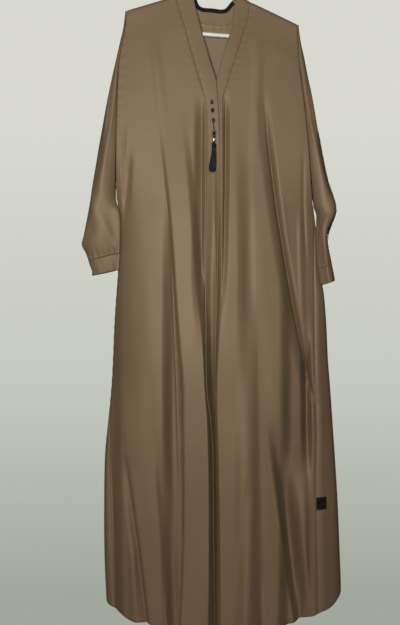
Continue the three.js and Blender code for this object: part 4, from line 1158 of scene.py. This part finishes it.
def tasselStrands():
    # strands spread like seeds round the axis, bending out and drifting to one side, with uneven ends
    look, count = tasselLook, tasselLook["strands"]
    k = np.arange(count)
    golden = math.pi * (3 - math.sqrt(5))
    rank, angle = np.sqrt((k + 0.5) / count), k * golden
    near = np.stack([np.cos(angle), np.sin(angle)], axis=-1) * rank[:, None] * look["root"]
    far = near * look["spread"] / look["root"]
    shorter = look["shortOuter"] * np.abs(np.sin(2.3 * k)) * rank + look["shortAny"] * np.abs(np.sin(5.1 * k))
    length = look["length"] - look["head"] - shorter
    q = np.linspace(0, 1, look["steps"])
    at = near[:, None] + (far - near)[:, None] * ease(q * 0.9)[None, :, None]
    wave = 0.35 * np.sin(q[None] * 7 + k[:, None] * 1.7)
    x = look["x"] + at[..., 0] + look["drift"] * q ** 2 + wave
    y = tasselY + at[..., 1] * look["flat"] + 0.3 * np.cos(q[None] * 6 + k[:, None] * 2.3)
    z = look["top"] - look["head"] + 2 - q[None] * (length[:, None] + 2)
    turn = np.linspace(0, 2 * np.pi, look["sides"], endpoint=False)
    ring = point(np.cos(turn), np.sin(turn), 0) * look["strandRadius"]
    taper = np.where(q > 0.98, 0.35, 1.0)[None, :, None, None]
    points = point(x, y, z)[:, :, None] + ring[None, None] * taper
    starts = (k * look["steps"] * look["sides"])[:, None, None]
    faces = gridFaces(look["steps"], look["sides"], True)[None] + starts
    return points.reshape(-1, 3), faces.reshape(-1, 4)


def tasselHead():
    # a dome of wound thread: a rounded barrel with fine ridges and a binding round its neck
    look = tasselLook
    v = np.linspace(0, 1, look["headRows"])
    radius = look["headRadius"] * np.sin(np.pi * (v * 0.92 + 0.04)) ** 0.4
    radius = radius * (1 - look["binding"] * bell(v - look["bindingAt"], look["bindingWide"]))
    radius = radius + look["ridgeHeight"] * np.sin(v * 2 * np.pi * look["ridges"])
    return poleToPole(radius, look["top"] - v * (look["head"] + 2))


link("tasselStrands", quadMesh("tasselStrands", *tasselStrands()), floss, ["tassel"])
turnedPiece("tasselHead", tasselHead(), tasselCentre, tasselLook["headSides"], floss, [])
print("beads and tassel made")


# Light: a pale room that lights nothing, a small key in front, a little to the left, wide weak
# fills, and a key and a fill for the back

light = {
    "world": [(0.36, (0.36, 0.39, 0.33)), (0.47, (0.57, 0.59, 0.53)), (0.60, (0.69, 0.69, 0.63))],
    "aim": (0.0, 0.0, -0.75),
    "lamps": {  # place and size in metres, power in watts, colour
        "key": ((-0.28, -1.75, -0.32), 0.40, 25.5, (1.0, 0.985, 0.95)),
        "frontFill": ((0.3, -3.4, -0.1), 2.6, 5.5, (0.97, 0.98, 1.0)),
        "leftFill": ((-3.2, -0.8, 0.2), 2.6, 1.2, (1.0, 0.98, 0.95)),
        "rightFill": ((3.2, -0.8, 0.2), 2.6, 1.2, (1.0, 0.98, 0.95)),
        "backKey": ((0.8, 2.1, -0.25), 0.7, 26.0, (1.0, 0.98, 0.95)),
        "backFill": ((-0.8, 3.4, -0.3), 3.0, 9.0, (0.96, 0.98, 1.0)),
    },
    "floor": (0.60, 0.61, 0.57), "floorSides": 128,
}
for name, (place, size, power, colour) in light["lamps"].items():
    lamp = bpy.data.lights.new(name + "Light", "AREA")
    lamp.shape, lamp.size, lamp.energy, lamp.color = "SQUARE", size, power, colour
    lampObject = bpy.data.objects.new(name + "Light", lamp)
    lampObject.location = place
    lampObject.rotation_euler = (Vector(light["aim"]) - Vector(place)).to_track_quat("-Z", "Y").to_euler()
    lampObject.visible_camera = False
    bpy.context.scene.collection.objects.link(lampObject)

world = bpy.data.worlds.new("paleRoom")
world.use_nodes = True
sky = world.node_tree
# paler above: half of the view direction's upward share plus a half runs the ramp
upward = addNode(sky, "SeparateXYZ", {"Vector": addNode(sky, "TexCoord").outputs["Generated"]}).outputs["Z"]
rise = addNode(sky, "Math", {0: upward, 1: 0.5, 2: 0.5}, operation="MULTIPLY_ADD").outputs[0]
sky.links.new(ramp(sky, rise, light["world"]), sky.nodes["Background"].inputs["Color"])
world.cycles_visibility.diffuse = world.cycles_visibility.glossy = False    # the lamps alone light the cloth
bpy.context.scene.world = world
bpy.context.scene.view_settings.view_transform = "Standard"

# A round floor that ends just outside the photograph's view, with a rounded rim
rimTurn = np.linspace(0, np.pi / 2, 8)
rimRadius = view["floorRadius"] + view["floorRim"] * np.sin(rimTurn)
rimHeight = view["floorZ"] - view["floorRim"] * (1 - np.cos(rimTurn))
floorRings = np.concatenate([[[1.0, view["floorZ"]]], np.stack([rimRadius, rimHeight], axis=-1)])
floorMesh = quadMesh("paleFloor", *turnedGrid(floorRings, light["floorSides"]))
floor = bpy.data.objects.new("paleFloor", floorMesh)
bpy.context.scene.collection.objects.link(floor)
floorMesh.materials.append(hardMaterial("paleFloor", light["floor"], 0.8, wearScale=40.0))
print("light and floor set")
